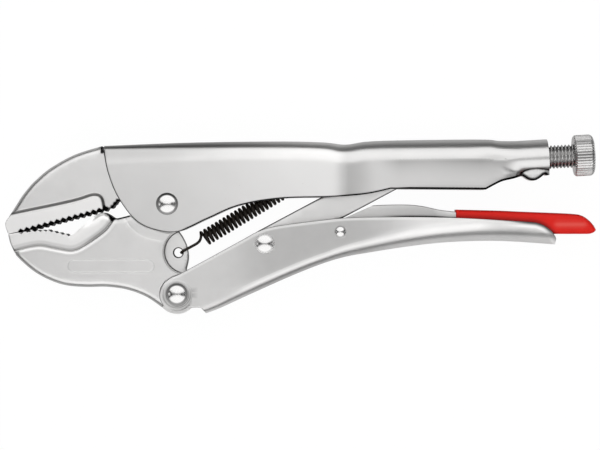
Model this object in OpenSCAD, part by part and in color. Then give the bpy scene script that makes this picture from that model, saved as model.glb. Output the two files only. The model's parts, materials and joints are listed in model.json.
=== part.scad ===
// Locking pliers, lying on one side.
// X runs along the tool with the jaws at -X, Y runs across it towards the upper handle,
// and Z is its thickness. The layout is measured from the main jaw pivot on the mid-plane;
// on_floor() moves each finished piece so that the origin is under the middle of the tool.

/* [Sheet and widths] */
// Thickness of the pressed sheet of both handles
sheet = 2.6; // [2.2:0.1:3]
// Outside width of the lower handle and of the front of the upper handle
body_w = 16.8; // [16:0.1:19]
// Outside width of the rear of the upper handle, and outside diameter of its screw tube
rear_w = 15.3; // [15:0.1:16.5]
// How far the jaw cheeks lie below the faces of the handles
cheek_set = 0.1; // [0.05:0.05:0.4]
// Width of both toothed bands
band_w = 13; // [11:0.5:15]
// Gap on each side between a moving piece and the walls it runs between
side_play = 0.25; // [0.15:0.05:0.4]
// Gap between the edges of neighbouring pieces in the plane of the tool
edge_gap = 0.3; // [0.2:0.05:0.5]
// Gap between the closed jaws at the nose
nose_gap = 0.12; // [0.1:0.02:0.3]

/* [Pivots] */
// Handle rivet, right of the jaw pivot
arm_x = 4.1; // [3:0.1:5]
// Handle rivet, below the jaw pivot
arm_y = 38; // [37:0.1:39]
// Link rivet, right of the handle rivet
link_x = 36.9; // [36:0.1:38]
// Link rivet, above the handle rivet
link_y = 21.3; // [20.5:0.1:22]
// Lever rivet, right of the handle rivet
lever_x = 68.7; // [68:0.1:70]
// Lever rivet, above the handle rivet
lever_y = 26.3; // [25.5:0.1:26.8]
// Radial clearance of each rivet in the piece that turns on it
running_fit = 0.05; // [0.03:0.01:0.09]
// Angle through which the moving jaw opens
jaw_swing = 16; // [10:1:20]

/* [Rivets] */
// Shank of the jaw pivot and handle rivets
main_rivet_d = 7; // [6:0.1:7.5]
// Head of the jaw pivot and handle rivets
main_head_d = 9.3; // [8.5:0.1:10.5]
// Shank of the link rivet
link_rivet_d = 6; // [5:0.1:6.5]
// Head of the link rivet
link_head_d = 8.5; // [7.5:0.1:9.5]
// Shank of the lever rivet
lever_rivet_d = 3.4; // [3:0.1:3.8]
// Head of the lever rivet
lever_head_d = 5; // [4.4:0.1:5.6]
// Height of the domed heads
head_h = 1.1; // [0.8:0.1:1.4]

/* [Jaws] */
// Pitch of the teeth of the fixed jaw
tooth_pitch = 2.5; // [2:0.1:3]
// Depth of the teeth of the fixed jaw
tooth_depth = 1.1; // [0.8:0.1:1.4]
// Pitch of the teeth of the moving jaw
low_tooth_pitch = 2.6; // [2:0.1:3]
// Depth of the teeth of the moving jaw
low_tooth_depth = 0.7; // [0.4:0.1:0.9]
// Radius of the moving jaw's boss on the jaw pivot
pivot_boss_r = 8; // [7:0.1:8.5]
// Radius of the moving jaw's boss on the handle rivet
tail_boss_r = 8.4; // [8:0.1:9]
// Thickness of the tang where the spring hooks in
tang_t = 4; // [3:0.1:5]
// Diameter of the spring hole in the tang
hook_hole_d = 3.8; // [3.4:0.1:4.2]

/* [Lower handle] */
// Radius of the ears about the handle rivet
ear_r = 7.2; // [6.8:0.1:7.8]
// Bend radius along the back of the lower handle
low_bend_r = 4.8; // [3.5:0.1:6]

/* [Toggle link] */
// Width of the link bar
link_bar_w = 12; // [11:0.1:12.6]
// Clearance between the link's end and the screw's tip
thrust_gap = 2.1; // [2:0.1:2.6]

/* [Release lever] */
// Thickness of the lever's sheet
lever_sheet = 1.6; // [1.2:0.1:2]
// Thickness of the sleeve on the lever's tail
sleeve_wall = 0.9; // [0.6:0.1:1.2]
// Angle through which the lever lifts before it meets the link
lever_lift = 4; // [3:0.5:5]

/* [Adjusting screw] */
// Outside diameter of the thread
thread_d = 10; // [9:0.1:10.2]
// Pitch of the thread
thread_pitch = 1.5; // [1.25:0.25:1.75]
// Angle of the screw to the handle
screw_tilt = 3; // [2:0.25:4]
// Radial clearance of the thread in its tube
thread_fit = 0.06; // [0.03:0.01:0.09]
// Diameter of the knob
knob_d = 17.5; // [16:0.1:18.5]
// Length of the knob
knob_len = 8.5; // [7:0.1:9.5]
// Number of ribs around the knob
knob_ribs = 42; // [30:1:60]
// Depth of the ribs
rib_depth = 0.45; // [0.3:0.05:0.6]
// Screw left showing between the tube and the knob
screw_shows = 11; // [8:0.1:13]

/* [Draw spring] */
// Outside diameter of the coil
coil_d = 7.2; // [6:0.1:7.6]
// Diameter of the wire
wire_d = 1.2; // [0.9:0.05:1.4]
// Pitch of the stretched coil
coil_pitch = 1.9; // [1.75:0.05:2]
// Number of turns
coil_turns = 26; // [22:1:27]

/* [Hidden] */
$fn = 64;
far = 60;          // reach of cutting shapes past the solids they trim
eps = 0.01;

half_w = body_w / 2;
half_rear = rear_w / 2;
half_in = half_w - sheet;              // inside of the lower handle and of the nose
half_rear_in = half_rear - sheet;      // inside of the upper handle's rear
half_cheek = half_w - cheek_set;
half_band = band_w / 2;
half_tang = half_in - side_play;
half_link = half_rear_in - side_play;
half_sleeve = half_in - side_play;
half_lever = half_sleeve - sleeve_wall;
half_head = half_w + head_h;

handle_pivot = [arm_x, -arm_y];
link_pivot = handle_pivot + [link_x, link_y];
lever_pivot = handle_pivot + [lever_x, lever_y];

// The screw's axis passes through tube_mouth; places along it are counted from there.
tube_mouth = [160.7, 19.8];
screw_dir = [cos(screw_tilt), sin(screw_tilt)];
tube_len = 20;
thrust_s = -57;                        // centre of the link's rounded end, on the axis
knob_s = screw_shows;
thrust = tube_mouth + thrust_s * screw_dir;
link_len = norm(thrust - link_pivot);
link_angle = atan2(thrust[1] - link_pivot[1], thrust[0] - link_pivot[0]);
link_r = link_bar_w / 2;
link_boss_r = link_r - 0.6;            // boss that fills the handle's width at the link rivet
tip_s = thrust_s + link_r + thrust_gap;

spring_hole = [4.4, -20.6];
hook_drop = 1.6;                       // wire showing behind the tang
coil_start = [14.9, -14.8];            // axis of the coil at its front end
coil_angle = 31;
coil_dir = [cos(coil_angle), sin(coil_angle)];
coil_mid_r = (coil_d - wire_d) / 2;
coil_end = coil_start + coil_turns * coil_pitch * coil_dir;

// Outlines, each a few points that a smooth curve runs through.
nose_x = -68.5;
fixed_jaw_top = [[nose_x, -8], [-66, -2.9], [-62.6, 2], [-59.3, 6.2], [-55.9, 9.6], [-49.2, 15.1],
                 [-39, 20.7], [-27.6, 24.3]];
upper_edge = [[-26.5, 21], [-24.9, 13.2], [-21, 3.4], [-14, -6.2], [-6, -10.6], [4.5, -11.7],
              [17, -6.3], [30, -0.8], [47, 2.2], [68, 2.9], [83, 4], [94, 6.3]];
upper_rear = [[134, 6], [139.3, 8.8], [142, 9.8], [145.6, 10.6], [148.4, 11.6]];
tooth_start = [-62.8, -11.85];
tooth_end = [-28.6, -2.95];
step_line = [[-66.6, -4.3], [-45.4, 0.1], [-37, 2.1], [-31, 3.9], [-27.6, 2.6], [-26.4, -2.6]];
throat = [[-24.1, -1.9], [-20.3, 2]];
jaw_root = [[-27.6, 21.4], [-10, 22.4], [-10, 2]];   // end of the fixed jaw inside the handle
bite = [[-40.3, -13.1], [-38.4, -11.8], [-34, -7.9], [-30, -4.8], [-27, -3.7],
        [-24.6, -4.6], [-22, -6.1], [-18.3, -5.5], [-15, -4.6]];
low_teeth = [bite[0], [-50, -10.8], [-59.2, -11.15]];
parting = [[-60.4, -11.75], [-61.6, -12.1], [-62.8, -12]];
jaw_bottom = [[-67.4, -12.6], [-66, -18.1], [-62.6, -23.2], [-55.9, -28.6], [-49.2, -32.2],
              [-42.5, -34.3], [-34, -35], [-25.7, -34.9], [-17, -36.1], [-8.9, -39.1], [-2.2, -43.6]];
cheek_step = [[-64, -19.6], [-54.3, -17.6], [-47.1, -18.7], [-41.2, -19.7], [-37.2, -18.9],
              [-32, -15.8], [-25.9, -11.2], [-22.4, -6.4]];
lens_centre = [7.7, -20.2];
lens_r = 9.3;
tang_right = [[7.9, -27.3], [8.7, -24], [8, -18.4], [4.4, -11.6], [7, -4]];

// Back of the upper handle: x, y, half width and bend radius at each place.
upper_back = [[-26.6, 24.4, half_w, 1.8], [10, 25.9, half_w, 3.2], [48, 26.4, half_w, 4.2],
              [66, 26.0, half_w, 4.8], [75, 25.1, half_w - 0.3, 5.6], [84, 26.4, half_rear, 6.8],
              [100, 27.0, half_rear, 7.2], [132, 27.3, half_rear, 7.2], [140, 26.7, half_rear, 7.2],
              [147, 26.5, half_rear, 7.2]];

// Lower handle, measured from the handle rivet.
low_edge = [[-5.4, 5.2], [-1.8, 7.3], [3, 9.5], [25.6, 21.8], [34.5, 26.6], [42, 28.7], [56, 30.6],
            [72, 32.2], [94, 32.5], [118, 32.1], [142, 30.6], [152, 29.2], [157, 25.4], [158.8, 22.8]];
low_back = [[10, -9], [18.3, -5.8], [29.2, -0.8], [47.1, 7.2], [60.9, 12.7], [71, 15.7],
            [81.1, 17.5], [94.5, 19.6], [108, 21.3], [122, 22.2], [138, 22.3], [160, 20.8]];
web_start = [[10.2, -5.8], [12.4, -8.4]];   // front edge of the lower handle's web
ear_bottom = [[25.6, 8], web_start[0], [9.6, -5.6], [4, -5.9], [0, 0]];
ear_end = 26;                          // where the slab of the ears runs into the channel
low_end_x = 158.6;

// Release lever, measured from its rivet.
lever_top = [[-4, 0], [-2, 8], [6, 10.2], [16, 11.2], [28, 11.4], [35, 10.7], [42, 9.2], [48.8, 8.4]];
lever_skirt = [[26, -1.6], [2, -4], [-2, -3.5]];
sleeve_x = 48.8;
sleeve_top = [[sleeve_x, 9.3], [67, 8.9], [84, 8.2], [97.5, 7.7], [103.4, 5.4], [107.9, 1.4]];
tail_x = 107.9;
tail_floor = -1;
tail_chamfer = 1.8;
tail_bottom = tail_floor + sleeve_wall;

// Lip of the rolled seam under the tube: a disc that hangs lip_drop below it.
lip_centre_x = 153;
lip_r = 5.7;
lip_low = 10;
lip_top = 12.6;

// Screw: root, pointed end, spigot inside the knob.
root_r = thread_d / 2 - 0.6 * thread_pitch;
point_r = root_r - 1.5;
point_len = 1.8;
thread_start = 3;
thread_flat = thread_pitch / 10;
spigot_r = 3.6;
spigot_len = knob_len - 2;
spigot_end_gap = 0.1;
knob_bevel = 1;

// Spring wire: sides of its section, steps to a turn, and how its hooks run.
wire_sides = 6;
turn_steps = 12;
front_hook = [[-1.2, -0.8, -tang_t / 2 - hook_drop], [-0.2, -0.3, -tang_t / 2], [0.2, 0, 0.4],
              [0.6, 0.3, tang_t / 2 + 0.3], [2, 0.9, coil_mid_r], [5.1, 2.6, coil_mid_r],
              [8.2, 4.2, coil_mid_r]];
rear_hook = [[0, 0, 0], [1.6, -0.2, 0], [2.2, -2, 0]];

// Place of the tool over the origin.
knob_top = tube_mouth[1] + (knob_s + knob_len - 1) * screw_dir[1] + knob_d / 2 * screw_dir[0];
tool_x = [nose_x, lever_pivot[0] + tail_x];
tool_y = [handle_pivot[1] - tail_boss_r, knob_top];
centre = [(tool_x[0] + tool_x[1]) / 2, (tool_y[0] + tool_y[1]) / 2];

// Smooth curve through points p, n steps to a span.
function blend_at(a, b, c, d, t) =
    b + t / 2 * (c - a) + t * t / 2 * (2 * a - 5 * b + 4 * c - d) + t * t * t / 2 * (3 * b - a - 3 * c + d);
function curve(p, n = 4) = [
    for (i = [0:len(p) - 2], k = [0:n - 1])
        blend_at(p[max(i - 1, 0)], p[i], p[i + 1], p[min(i + 2, len(p) - 1)], k / n),
    p[len(p) - 1]];
function reversed(p) = [for (i = [len(p) - 1:-1:0]) p[i]];
function along(a, angle, s) = a + s * [cos(angle), sin(angle)];
// Saw of equal teeth from a to b, tips on the line and roots to its left.
function teeth(a, b, pitch, depth) =
    let (angle = atan2(b[1] - a[1], b[0] - a[0]), n = max(1, round(norm(b - a) / pitch)),
         step = norm(b - a) / n)
    [for (i = [0:n - 1], k = [0, 1])
        along(a, angle, (i + k / 2) * step) + k * depth * [-sin(angle), cos(angle)]];

module on_floor() {
    translate([-centre[0], -centre[1], half_head]) children();
}

// Plate of the outline below it, of half thickness h about the mid-plane.
module plate(h) {
    linear_extrude(2 * h, center = true) children();
}

module at(p) {
    translate([p[0], p[1], 0]) children();
}

module bore(p, r) {
    at(p) cylinder(h = 2 * far, r = r, center = true);
}

// Places along the screw's axis, s = 0 at the mouth of the tube, X' along the screw.
module on_screw(s) {
    at(tube_mouth + s * screw_dir) rotate([0, 90, screw_tilt]) children();
}

// Rivet with two domed heads, closed on faces half_span from the mid-plane.
module rivet(p, d, head_d, half_span) {
    dome_r = (head_d * head_d / 4 + head_h * head_h) / (2 * head_h);
    at(p) {
        cylinder(h = 2 * half_span, d = d, center = true);
        for (side = [0, 1]) mirror([0, 0, side]) intersection() {
            translate([0, 0, half_span + head_h - dome_r]) sphere(dome_r, $fn = 96);
            translate([0, 0, half_span]) cylinder(h = 2 * head_h, d = head_d + 1);
        }
    }
}

// Outside of a bent channel: sections square to the path of its back, each with two rounded
// corners. sign is 1 where the open side is to the left of the path, -1 to the right.
corner_steps = 5;
function section(half, r) = concat(
    [[half, far]],
    [for (i = [0:corner_steps]) let (a = 90 * i / corner_steps) [half - r + r * cos(a), r - r * sin(a)]],
    [for (i = [0:corner_steps]) let (a = 90 * i / corner_steps) [r - half - r * sin(a), r - r * cos(a)]],
    [[-half, far]]);
function heading(path, i) =
    let (d = path[min(i + 1, len(path) - 1)] - path[max(i - 1, 0)]) atan2(d[1], d[0]);
module swept_channel(stations, sign) {
    path = [for (s = stations) [s[0], s[1]]];
    n = len(stations);
    m = 2 * corner_steps + 4;
    points = [for (i = [0:n - 1], q = section(stations[i][2], stations[i][3]))
        let (a = heading(path, i) + 90 * sign)
        [path[i][0] + q[1] * cos(a), path[i][1] + q[1] * sin(a), q[0]]];
    sides = [for (i = [0:n - 2], k = [0:m - 1], half = [0, 1])
        let (a = i * m + k, b = i * m + (k + 1) % m, c = a + m, d = b + m)
        half == 0 ? [a, b, d] : [a, d, c]];
    caps = [[for (k = [m - 1:-1:0]) k], [for (k = [0:m - 1]) (n - 1) * m + k]];
    faces = concat(sides, caps);
    polyhedron(points, sign > 0 ? [for (f = faces) [for (k = [len(f) - 1:-1:0]) f[k]]] : faces);
}

// Side view of the upper handle, open past its back, which the swept channel trims.
module upper_outline() {
    polygon(concat([[upper_back[0][0], far], [upper_back[0][0], upper_edge[0][1]]], curve(upper_edge),
                   curve(upper_rear), [[upper_rear[len(upper_rear) - 1][0], far]]));
}

// Space between the walls of the upper handle, from x0 to x1.
module upper_space(x0, x1) {
    roof = [for (s = upper_back) if (s[0] > x0 && s[0] <= x1) [s[0], s[1] - sheet]];
    first = roof[0][1];
    last = roof[len(roof) - 1][1];
    polygon(concat([[x1, -far], [x0, -far], [x0, first]], roof, [[x1, last]]));
}

// Lug pressed down from the back, with the hole for the spring's rear hook.
lug_x = 71.8;
lug_t = 1.6;
lug_end = 2.6;                         // lug below the middle of its hole
hook_play = 0.7;                       // play of the wire in that hole
lug_hole = along(coil_start, coil_angle, (lug_x - coil_start[0]) / coil_dir[0]);
lug = [[lug_x - lug_t / 2, 24], [lug_x + lug_t / 2, 24], [lug_x + lug_t / 2, lug_hole[1] - lug_end],
       [lug_x - lug_t / 2, lug_hole[1] - lug_end]];
space_split = 75;
space_end = 141;

module upper_handle() {
    color("silver") on_floor() difference() {
        union() {
            difference() {
                intersection() {
                    swept_channel(upper_back, -1);
                    plate(far) upper_outline();
                }
                plate(half_in) upper_space(-60, space_split);
                plate(half_rear_in) upper_space(space_split - eps, space_end);
            }
            on_screw(-tube_len) cylinder(h = tube_len, r = half_rear);
            seam_lip();
            plate(2.5) polygon(lug);
        }
        on_screw(-far / 2) cylinder(h = far, r = thread_d / 2 + thread_fit);
        bore([0, 0], main_rivet_d / 2);
        at(lug_hole) rotate([0, 90, 0]) cylinder(h = 6, d = wire_d + 2 * hook_play, center = true);
    }
}

module seam_lip() {
    intersection() {
        at([lip_centre_x, lip_low + lip_r]) cylinder(h = 7, r = lip_r, center = true);
        at([lip_centre_x - lip_r, lip_low - 1]) translate([0, 0, -4])
            cube([2 * lip_r, lip_top - lip_low + 1, 8]);
    }
}

module fixed_jaw() {
    back = concat(curve(fixed_jaw_top), jaw_root, reversed(throat));
    saw = teeth(tooth_start, tooth_end, tooth_pitch, tooth_depth);
    body_line = concat(back, [tooth_end], reversed(saw), [jaw_bottom[0] + [0, nose_gap]]);
    cheek_line = concat(back, reversed(step_line));
    color("gainsboro") on_floor() difference() {
        union() {
            plate(half_band) polygon(body_line);
            plate(half_cheek) polygon(cheek_line);
        }
        difference() {
            plate(far) upper_outline();
            plate(half_in) upper_space(-60, space_split);
        }
        bore([0, 0], pivot_boss_r + edge_gap);
    }
}

// Points of p moved square to the path, to its left for a positive distance.
function shifted(p, d) = [for (i = [0:len(p) - 1]) let (a = heading(p, i)) p[i] + d * [-sin(a), cos(a)]];

// Side view of the upper handle's wall, grown by the gap that the jaw keeps from it.
module upper_clearance() {
    polygon(concat([[upper_edge[0][0] - edge_gap, far]], shifted(curve(upper_edge), -edge_gap), [[94, far]]));
}

// Side view of the lower handle ahead of the link, grown by the gap that the jaw keeps from it.
module lower_clearance() {
    polygon(concat(shifted(curve(low_edge), edge_gap), [[low_end_x, -far], [web_start[1][0], -far], web_start[0],
                                                       [0, 0]]));
}

module moving_outline() {
    saw = [for (i = [0, 1], q = teeth(low_teeth[i], low_teeth[i + 1], low_tooth_pitch, low_tooth_depth)) q];
    polygon(concat(curve(jaw_bottom), [handle_pivot], curve(tang_right), [[0, 0]],
                   reversed(curve(bite)), saw, [low_teeth[2]], parting));
}

module moving_jaw() {
    color("gainsboro") on_floor() difference() {
        union() {
            difference() {
                union() {
                    plate(half_band) moving_outline();
                    intersection() {
                        plate(half_cheek) moving_outline();
                        plate(far) polygon(concat(curve(cheek_step), [[cheek_step[7][0], far], [far, far],
                                                                     [far, -far], [nose_x, -far]]));
                    }
                }
                for (a = [0:jaw_swing / 4:jaw_swing]) rotate(-a) plate(far) upper_clearance();
                bore(lens_centre, lens_r);
                bore(handle_pivot, ear_r + edge_gap);
                at(handle_pivot) plate(far) lower_clearance();
            }
            plate(half_tang) moving_outline();
            cylinder(h = 2 * half_tang, r = pivot_boss_r, center = true);
            at(handle_pivot) cylinder(h = 2 * half_tang, r = tail_boss_r, center = true);
        }
        for (side = [0, 1]) mirror([0, 0, side])
            translate([lens_centre[0], lens_centre[1], tang_t / 2]) cylinder(h = far, r = lens_r);
        bore([0, 0], main_rivet_d / 2 + running_fit);
        bore(handle_pivot, main_rivet_d / 2 + running_fit);
        bore(spring_hole, hook_hole_d / 2);
    }
}

module jaw_pivot_rivet() {
    color("white") on_floor() rivet([0, 0], main_rivet_d, main_head_d, half_w);
}

module lower_handle() {
    back = [for (p = low_back) p + handle_pivot];
    floor_line = shifted(low_back, sheet);
    edge = curve(low_edge);
    end_y = low_edge[len(low_edge) - 1][1] - 1.5;
    color("silver") on_floor() difference() {
        union() {
            difference() {
                intersection() {
                    swept_channel([for (p = back) [p[0], p[1], half_w, low_bend_r]], 1);
                    at(handle_pivot) plate(far) polygon(concat([for (p = edge) if (p[0] > web_start[0][0]) p],
                        [[low_end_x, end_y], [low_end_x, -far], [web_start[1][0], -far], web_start[1],
                         web_start[0]]));
                }
                at(handle_pivot) plate(half_in) polygon(concat(floor_line, [[3 * far, far], [-far, far]]));
            }
            at(handle_pivot) difference() {
                union() {
                    plate(half_w) polygon(concat([for (p = edge) if (p[0] < ear_end) p], ear_bottom));
                    cylinder(h = 2 * half_w, r = ear_r, center = true);
                }
                cube([4 * far, 4 * far, 2 * half_in], center = true);
            }
        }
        bore(handle_pivot, main_rivet_d / 2);
        bore(link_pivot, link_rivet_d / 2);
        bore(lever_pivot, lever_rivet_d / 2);
    }
}

module lower_handle_rivet() {
    color("white") on_floor() rivet(handle_pivot, main_rivet_d, main_head_d, half_w);
}

// Bar of the link, grown by gap, lying between its two rounded ends.
module link_bar(half, gap) {
    at(link_pivot) rotate(link_angle) {
        translate([0, -link_r - gap, -half]) cube([link_len, 2 * (link_r + gap), 2 * half]);
        for (s = [0, link_len]) translate([s, 0, 0]) cylinder(h = 2 * half, r = link_r + gap, center = true);
    }
}

module toggle_link() {
    color("silver") on_floor() difference() {
        union() {
            link_bar(half_link, 0);
            at(link_pivot) cylinder(h = 2 * half_tang, r = link_boss_r, center = true);
        }
        bore(link_pivot, link_rivet_d / 2 + running_fit);
    }
}

module link_rivet() {
    color("white") on_floor() rivet(link_pivot, link_rivet_d, link_head_d, half_w);
}

// Outline of the lever's walls, inset by d from its top.
module lever_outline(d) {
    tail_top = shifted(curve(sleeve_top), -sleeve_wall);
    top = concat(curve(lever_top), [for (p = tail_top) if (p[1] > tail_bottom + d) p]);
    tail_end = [tail_x - sleeve_wall - 2 * tail_chamfer - d, tail_bottom];
    polygon(concat(shifted(top, -d), [tail_end, [sleeve_x, tail_bottom]], lever_skirt));
}

module release_lever() {
    color("silver") on_floor() difference() {
        at(lever_pivot) difference() {
            plate(half_lever) lever_outline(0);
            translate([0, -eps, 0]) plate(half_lever - lever_sheet) lever_outline(lever_sheet);
        }
        link_bar(far, edge_gap);
        at(lever_pivot) rotate(-lever_lift) at(-lever_pivot) link_bar(far, edge_gap / 2);
        bore(lever_pivot, lever_rivet_d / 2 + running_fit);
    }
}

module release_lever_rivet() {
    color("white") on_floor() rivet(lever_pivot, lever_rivet_d, lever_head_d, half_w);
}

module release_lever_sleeve() {
    color("red") on_floor() at(lever_pivot) difference() {
        plate(half_sleeve) polygon(concat(curve(sleeve_top), [[tail_x - tail_chamfer, tail_floor + 0.4],
            [tail_x - 2 * tail_chamfer, tail_floor], [sleeve_x, tail_floor]]));
        plate(half_lever) lever_outline(0);
    }
}

module adjusting_screw() {
    length = knob_s - tip_s;
    rings = floor((length - thread_start - 0.5) / thread_pitch);
    ring = [[root_r, 0], [thread_d / 2, thread_pitch / 2 - thread_flat],
            [thread_d / 2, thread_pitch / 2 + thread_flat]];
    profile = concat([[0, 0], [point_r, 0], [root_r, point_len]],
        [for (i = [0:rings - 1], q = ring) q + [0, thread_start + i * thread_pitch]],
        [[root_r, thread_start + rings * thread_pitch], [root_r, length], [spigot_r, length],
         [spigot_r, length + spigot_len], [0, length + spigot_len]]);
    color("silver") on_floor() on_screw(tip_s) rotate_extrude($fn = 96) polygon(profile);
}

module knurled_knob() {
    r = knob_d / 2;
    ribbed = [for (i = [0:knob_ribs - 1], k = [[0, r], [0.35, r], [0.675, r - rib_depth]])
              k[1] * [cos(360 * (i + k[0]) / knob_ribs), sin(360 * (i + k[0]) / knob_ribs)]];
    color("silver") on_floor() on_screw(knob_s) difference() {
        intersection() {
            linear_extrude(knob_len) polygon(ribbed);
            rotate_extrude($fn = 96) polygon([[0, 0], [r - knob_bevel, 0], [r + eps, knob_bevel],
                [r + eps, knob_len - knob_bevel], [r - knob_bevel / 3, knob_len - knob_bevel / 3],
                [r - 1.6 * knob_bevel, knob_len], [0, knob_len]]);
        }
        translate([0, 0, -eps]) cylinder(h = spigot_len + spigot_end_gap, r = spigot_r + running_fit);
    }
}

function unit(v) = v / norm(v);
function coil_point(turn) =
    let (a = 360 * turn, c = coil_start + turn * coil_pitch * coil_dir, u = coil_mid_r * sin(a))
    [c[0] - u * coil_dir[1], c[1] + u * coil_dir[0], coil_mid_r * cos(a)];
// Point past the coil's end, s along its axis and z towards the side where the coil ends.
function past_coil(s, z) = let (c = coil_end + s * coil_dir) [c[0], c[1], z];
function spring_path() = concat(
    [for (q = front_hook) q + [spring_hole[0], spring_hole[1], 0]],
    [for (i = [0:coil_turns * turn_steps]) coil_point(i / turn_steps)],
    [past_coil(2, 2), past_coil(4.5, 0.6), past_coil(7, 0)],
    [for (q = rear_hook) q + [lug_hole[0], lug_hole[1], 0]]);

// Wire of the spring: a tube along its path.
module draw_spring() {
    path = spring_path();
    n = len(path);
    points = [for (i = [0:n - 1])
        let (t = unit(path[min(i + 1, n - 1)] - path[max(i - 1, 0)]),
             u = unit(cross(t, [coil_dir[0], coil_dir[1], 0.3])), v = cross(t, u))
        for (k = [0:wire_sides - 1]) let (a = 360 * k / wire_sides)
        path[i] + wire_d / 2 * (cos(a) * u + sin(a) * v)];
    sides = [for (i = [0:n - 2], k = [0:wire_sides - 1], half = [0, 1])
        let (a = i * wire_sides + k, b = i * wire_sides + (k + 1) % wire_sides)
        half == 0 ? [a, b + wire_sides, b] : [a, a + wire_sides, b + wire_sides]];
    color("black") on_floor() polyhedron(points, concat(sides,
        [[for (k = [0:wire_sides - 1]) k], [for (k = [wire_sides - 1:-1:0]) (n - 1) * wire_sides + k]]));
}

upper_handle();
fixed_jaw();
moving_jaw();
jaw_pivot_rivet();
lower_handle();
lower_handle_rivet();
toggle_link();
link_rivet();
release_lever();
release_lever_rivet();
release_lever_sleeve();
adjusting_screw();
knurled_knob();
draw_spring();
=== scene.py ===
"""Locking pliers: the looks of every piece, built round the fixed frame.

Shapes are drawn in millimetres from the jaw pivot on the mid-plane, x along the tool, y towards the
upper handle and z through its thickness, and are moved to the frame when a piece is made.
"""
import json
import math

import bpy
import numpy as np
from mathutils import Matrix, Vector, geometry


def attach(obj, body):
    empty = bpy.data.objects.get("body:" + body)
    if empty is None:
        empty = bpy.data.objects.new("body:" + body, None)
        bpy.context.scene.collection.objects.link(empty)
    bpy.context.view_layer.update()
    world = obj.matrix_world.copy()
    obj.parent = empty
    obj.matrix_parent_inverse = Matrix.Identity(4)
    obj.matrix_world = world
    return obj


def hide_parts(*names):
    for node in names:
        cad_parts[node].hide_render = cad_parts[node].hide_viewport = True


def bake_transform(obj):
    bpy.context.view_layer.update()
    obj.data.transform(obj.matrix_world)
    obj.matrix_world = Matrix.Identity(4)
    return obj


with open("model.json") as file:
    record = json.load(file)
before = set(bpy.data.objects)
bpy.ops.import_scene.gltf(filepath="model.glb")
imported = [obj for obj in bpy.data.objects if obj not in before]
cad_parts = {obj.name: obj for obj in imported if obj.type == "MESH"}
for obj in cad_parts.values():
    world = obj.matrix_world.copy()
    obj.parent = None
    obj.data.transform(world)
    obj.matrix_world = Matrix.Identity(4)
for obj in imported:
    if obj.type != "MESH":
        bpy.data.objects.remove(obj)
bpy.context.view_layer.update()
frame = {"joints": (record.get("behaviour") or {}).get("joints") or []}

MM = 0.001
JOINTS = {joint["name"]: joint for joint in frame["joints"]}
JAW_PIVOT = np.array(JOINTS["jaw_pivot"]["pos_m"]) / MM

# ---------------------------------------------------------------- sizes, as in the construction
SHEET = 2.6
HALF_BODY, HALF_REAR = 8.4, 7.65
HALF_CHEEK, HALF_BAND = 8.3, 6.5
HALF_TANG, HALF_LINK = 5.55, 4.8
HALF_SLEEVE, HALF_LEVER = 5.55, 4.65
TANG = 2.0
HANDLE_PIVOT = np.array([4.1, -38.0])
LINK_PIVOT = np.array([41.0, -16.7])
LEVER_PIVOT = np.array([72.8, -11.7])
TUBE_MOUTH = np.array([160.7, 19.8])
SCREW_TILT = math.radians(3)
SCREW_DIR = np.array([math.cos(SCREW_TILT), math.sin(SCREW_TILT)])
THRUST = TUBE_MOUTH - 57 * SCREW_DIR
LINK_LEN = float(np.hypot(*(THRUST - LINK_PIVOT)))
LINK_ANGLE = math.atan2(*(THRUST - LINK_PIVOT)[::-1])
LINK_R, LINK_BOSS_R = 6.0, 5.4
EAR_R, TAIL_BOSS_R, PIVOT_BOSS_R = 7.2, 8.4, 8.0
GAP = 0.3
JAW_SWING, LEVER_SWING = 16, 4
RIVET_R, LINK_RIVET_R, LEVER_RIVET_R = 3.5, 3.0, 1.7
RIVET_HEAD_R, LINK_HEAD_R, LEVER_HEAD_R = 4.65, 4.25, 2.5
HOLE_PLAY = 0.05
LEVER_SHEET = 1.6
TUBE_BORE_R = 5.06
SPIGOT_R, SPIGOT_LEN = 3.6, 6.5
THREAD_R, THREAD_PITCH, THREAD_DEPTH = 5.0, 1.5, 0.9
TIP_S, KNOB_S = -48.9, 11.0
KNOB_R, KNOB_LEN, KNOB_RIBS, RIB_DEPTH = 8.75, 8.5, 42, 0.45
COIL_START, COIL_ANGLE = np.array([14.9, -14.8]), math.radians(31)
COIL_PITCH, COIL_TURNS, COIL_STEPS, COIL_R, WIRE_R = 1.9, 26, 20, 3.0, 0.6
SPRING_HOLE, HOOK_HOLE_R = np.array([4.4, -20.6]), 1.9
LUG_X = 71.8
LUG_Y = COIL_START[1] + (LUG_X - COIL_START[0]) * math.tan(COIL_ANGLE)
LENS, LENS_R = np.array([7.7, -20.2]), 9.3

JAW_NOSE = [[-67.1, -12.55], [-67.7, -11], [-68.2, -9.3], [-68.25, -8.3], [-67.9, -7.2], [-67.1, -5.95]]
JAW_TOP = [[-67.1, -5.95], [-65.4, -3.4], [-63.3, -0.05], [-61.3, 3.1], [-59, 6.1], [-55.8, 9.6],
           [-49.2, 15.1], [-39, 20.7], [-27.6, 24.3]]
UPPER_EDGE = [[-26.5, 21], [-24.9, 13.2], [-21, 3.4], [-14, -6.2], [-6, -10.6], [4.5, -11.7],
              [17, -6.3], [30, -0.8], [47, 2.2], [68, 2.9], [83, 4], [94, 6.3]]
UPPER_REAR = [[134, 6], [139.3, 8.8], [142, 9.8], [145.6, 10.6], [148.6, 11.5]]
UPPER_BACK = [[-26.6, 24.4], [10, 25.9], [48, 26.4], [66, 26.0], [75, 25.1], [84, 26.4],
              [100, 27.0], [132, 27.3], [140, 26.7], [147, 26.6]]
BACK_X = [-26.6, 10, 48, 66, 75, 84, 100, 147]
BACK_BEND = [2.6, 4.6, 5.2, 5.3, 5.6, 6.0, 6.3, 6.3]
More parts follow.
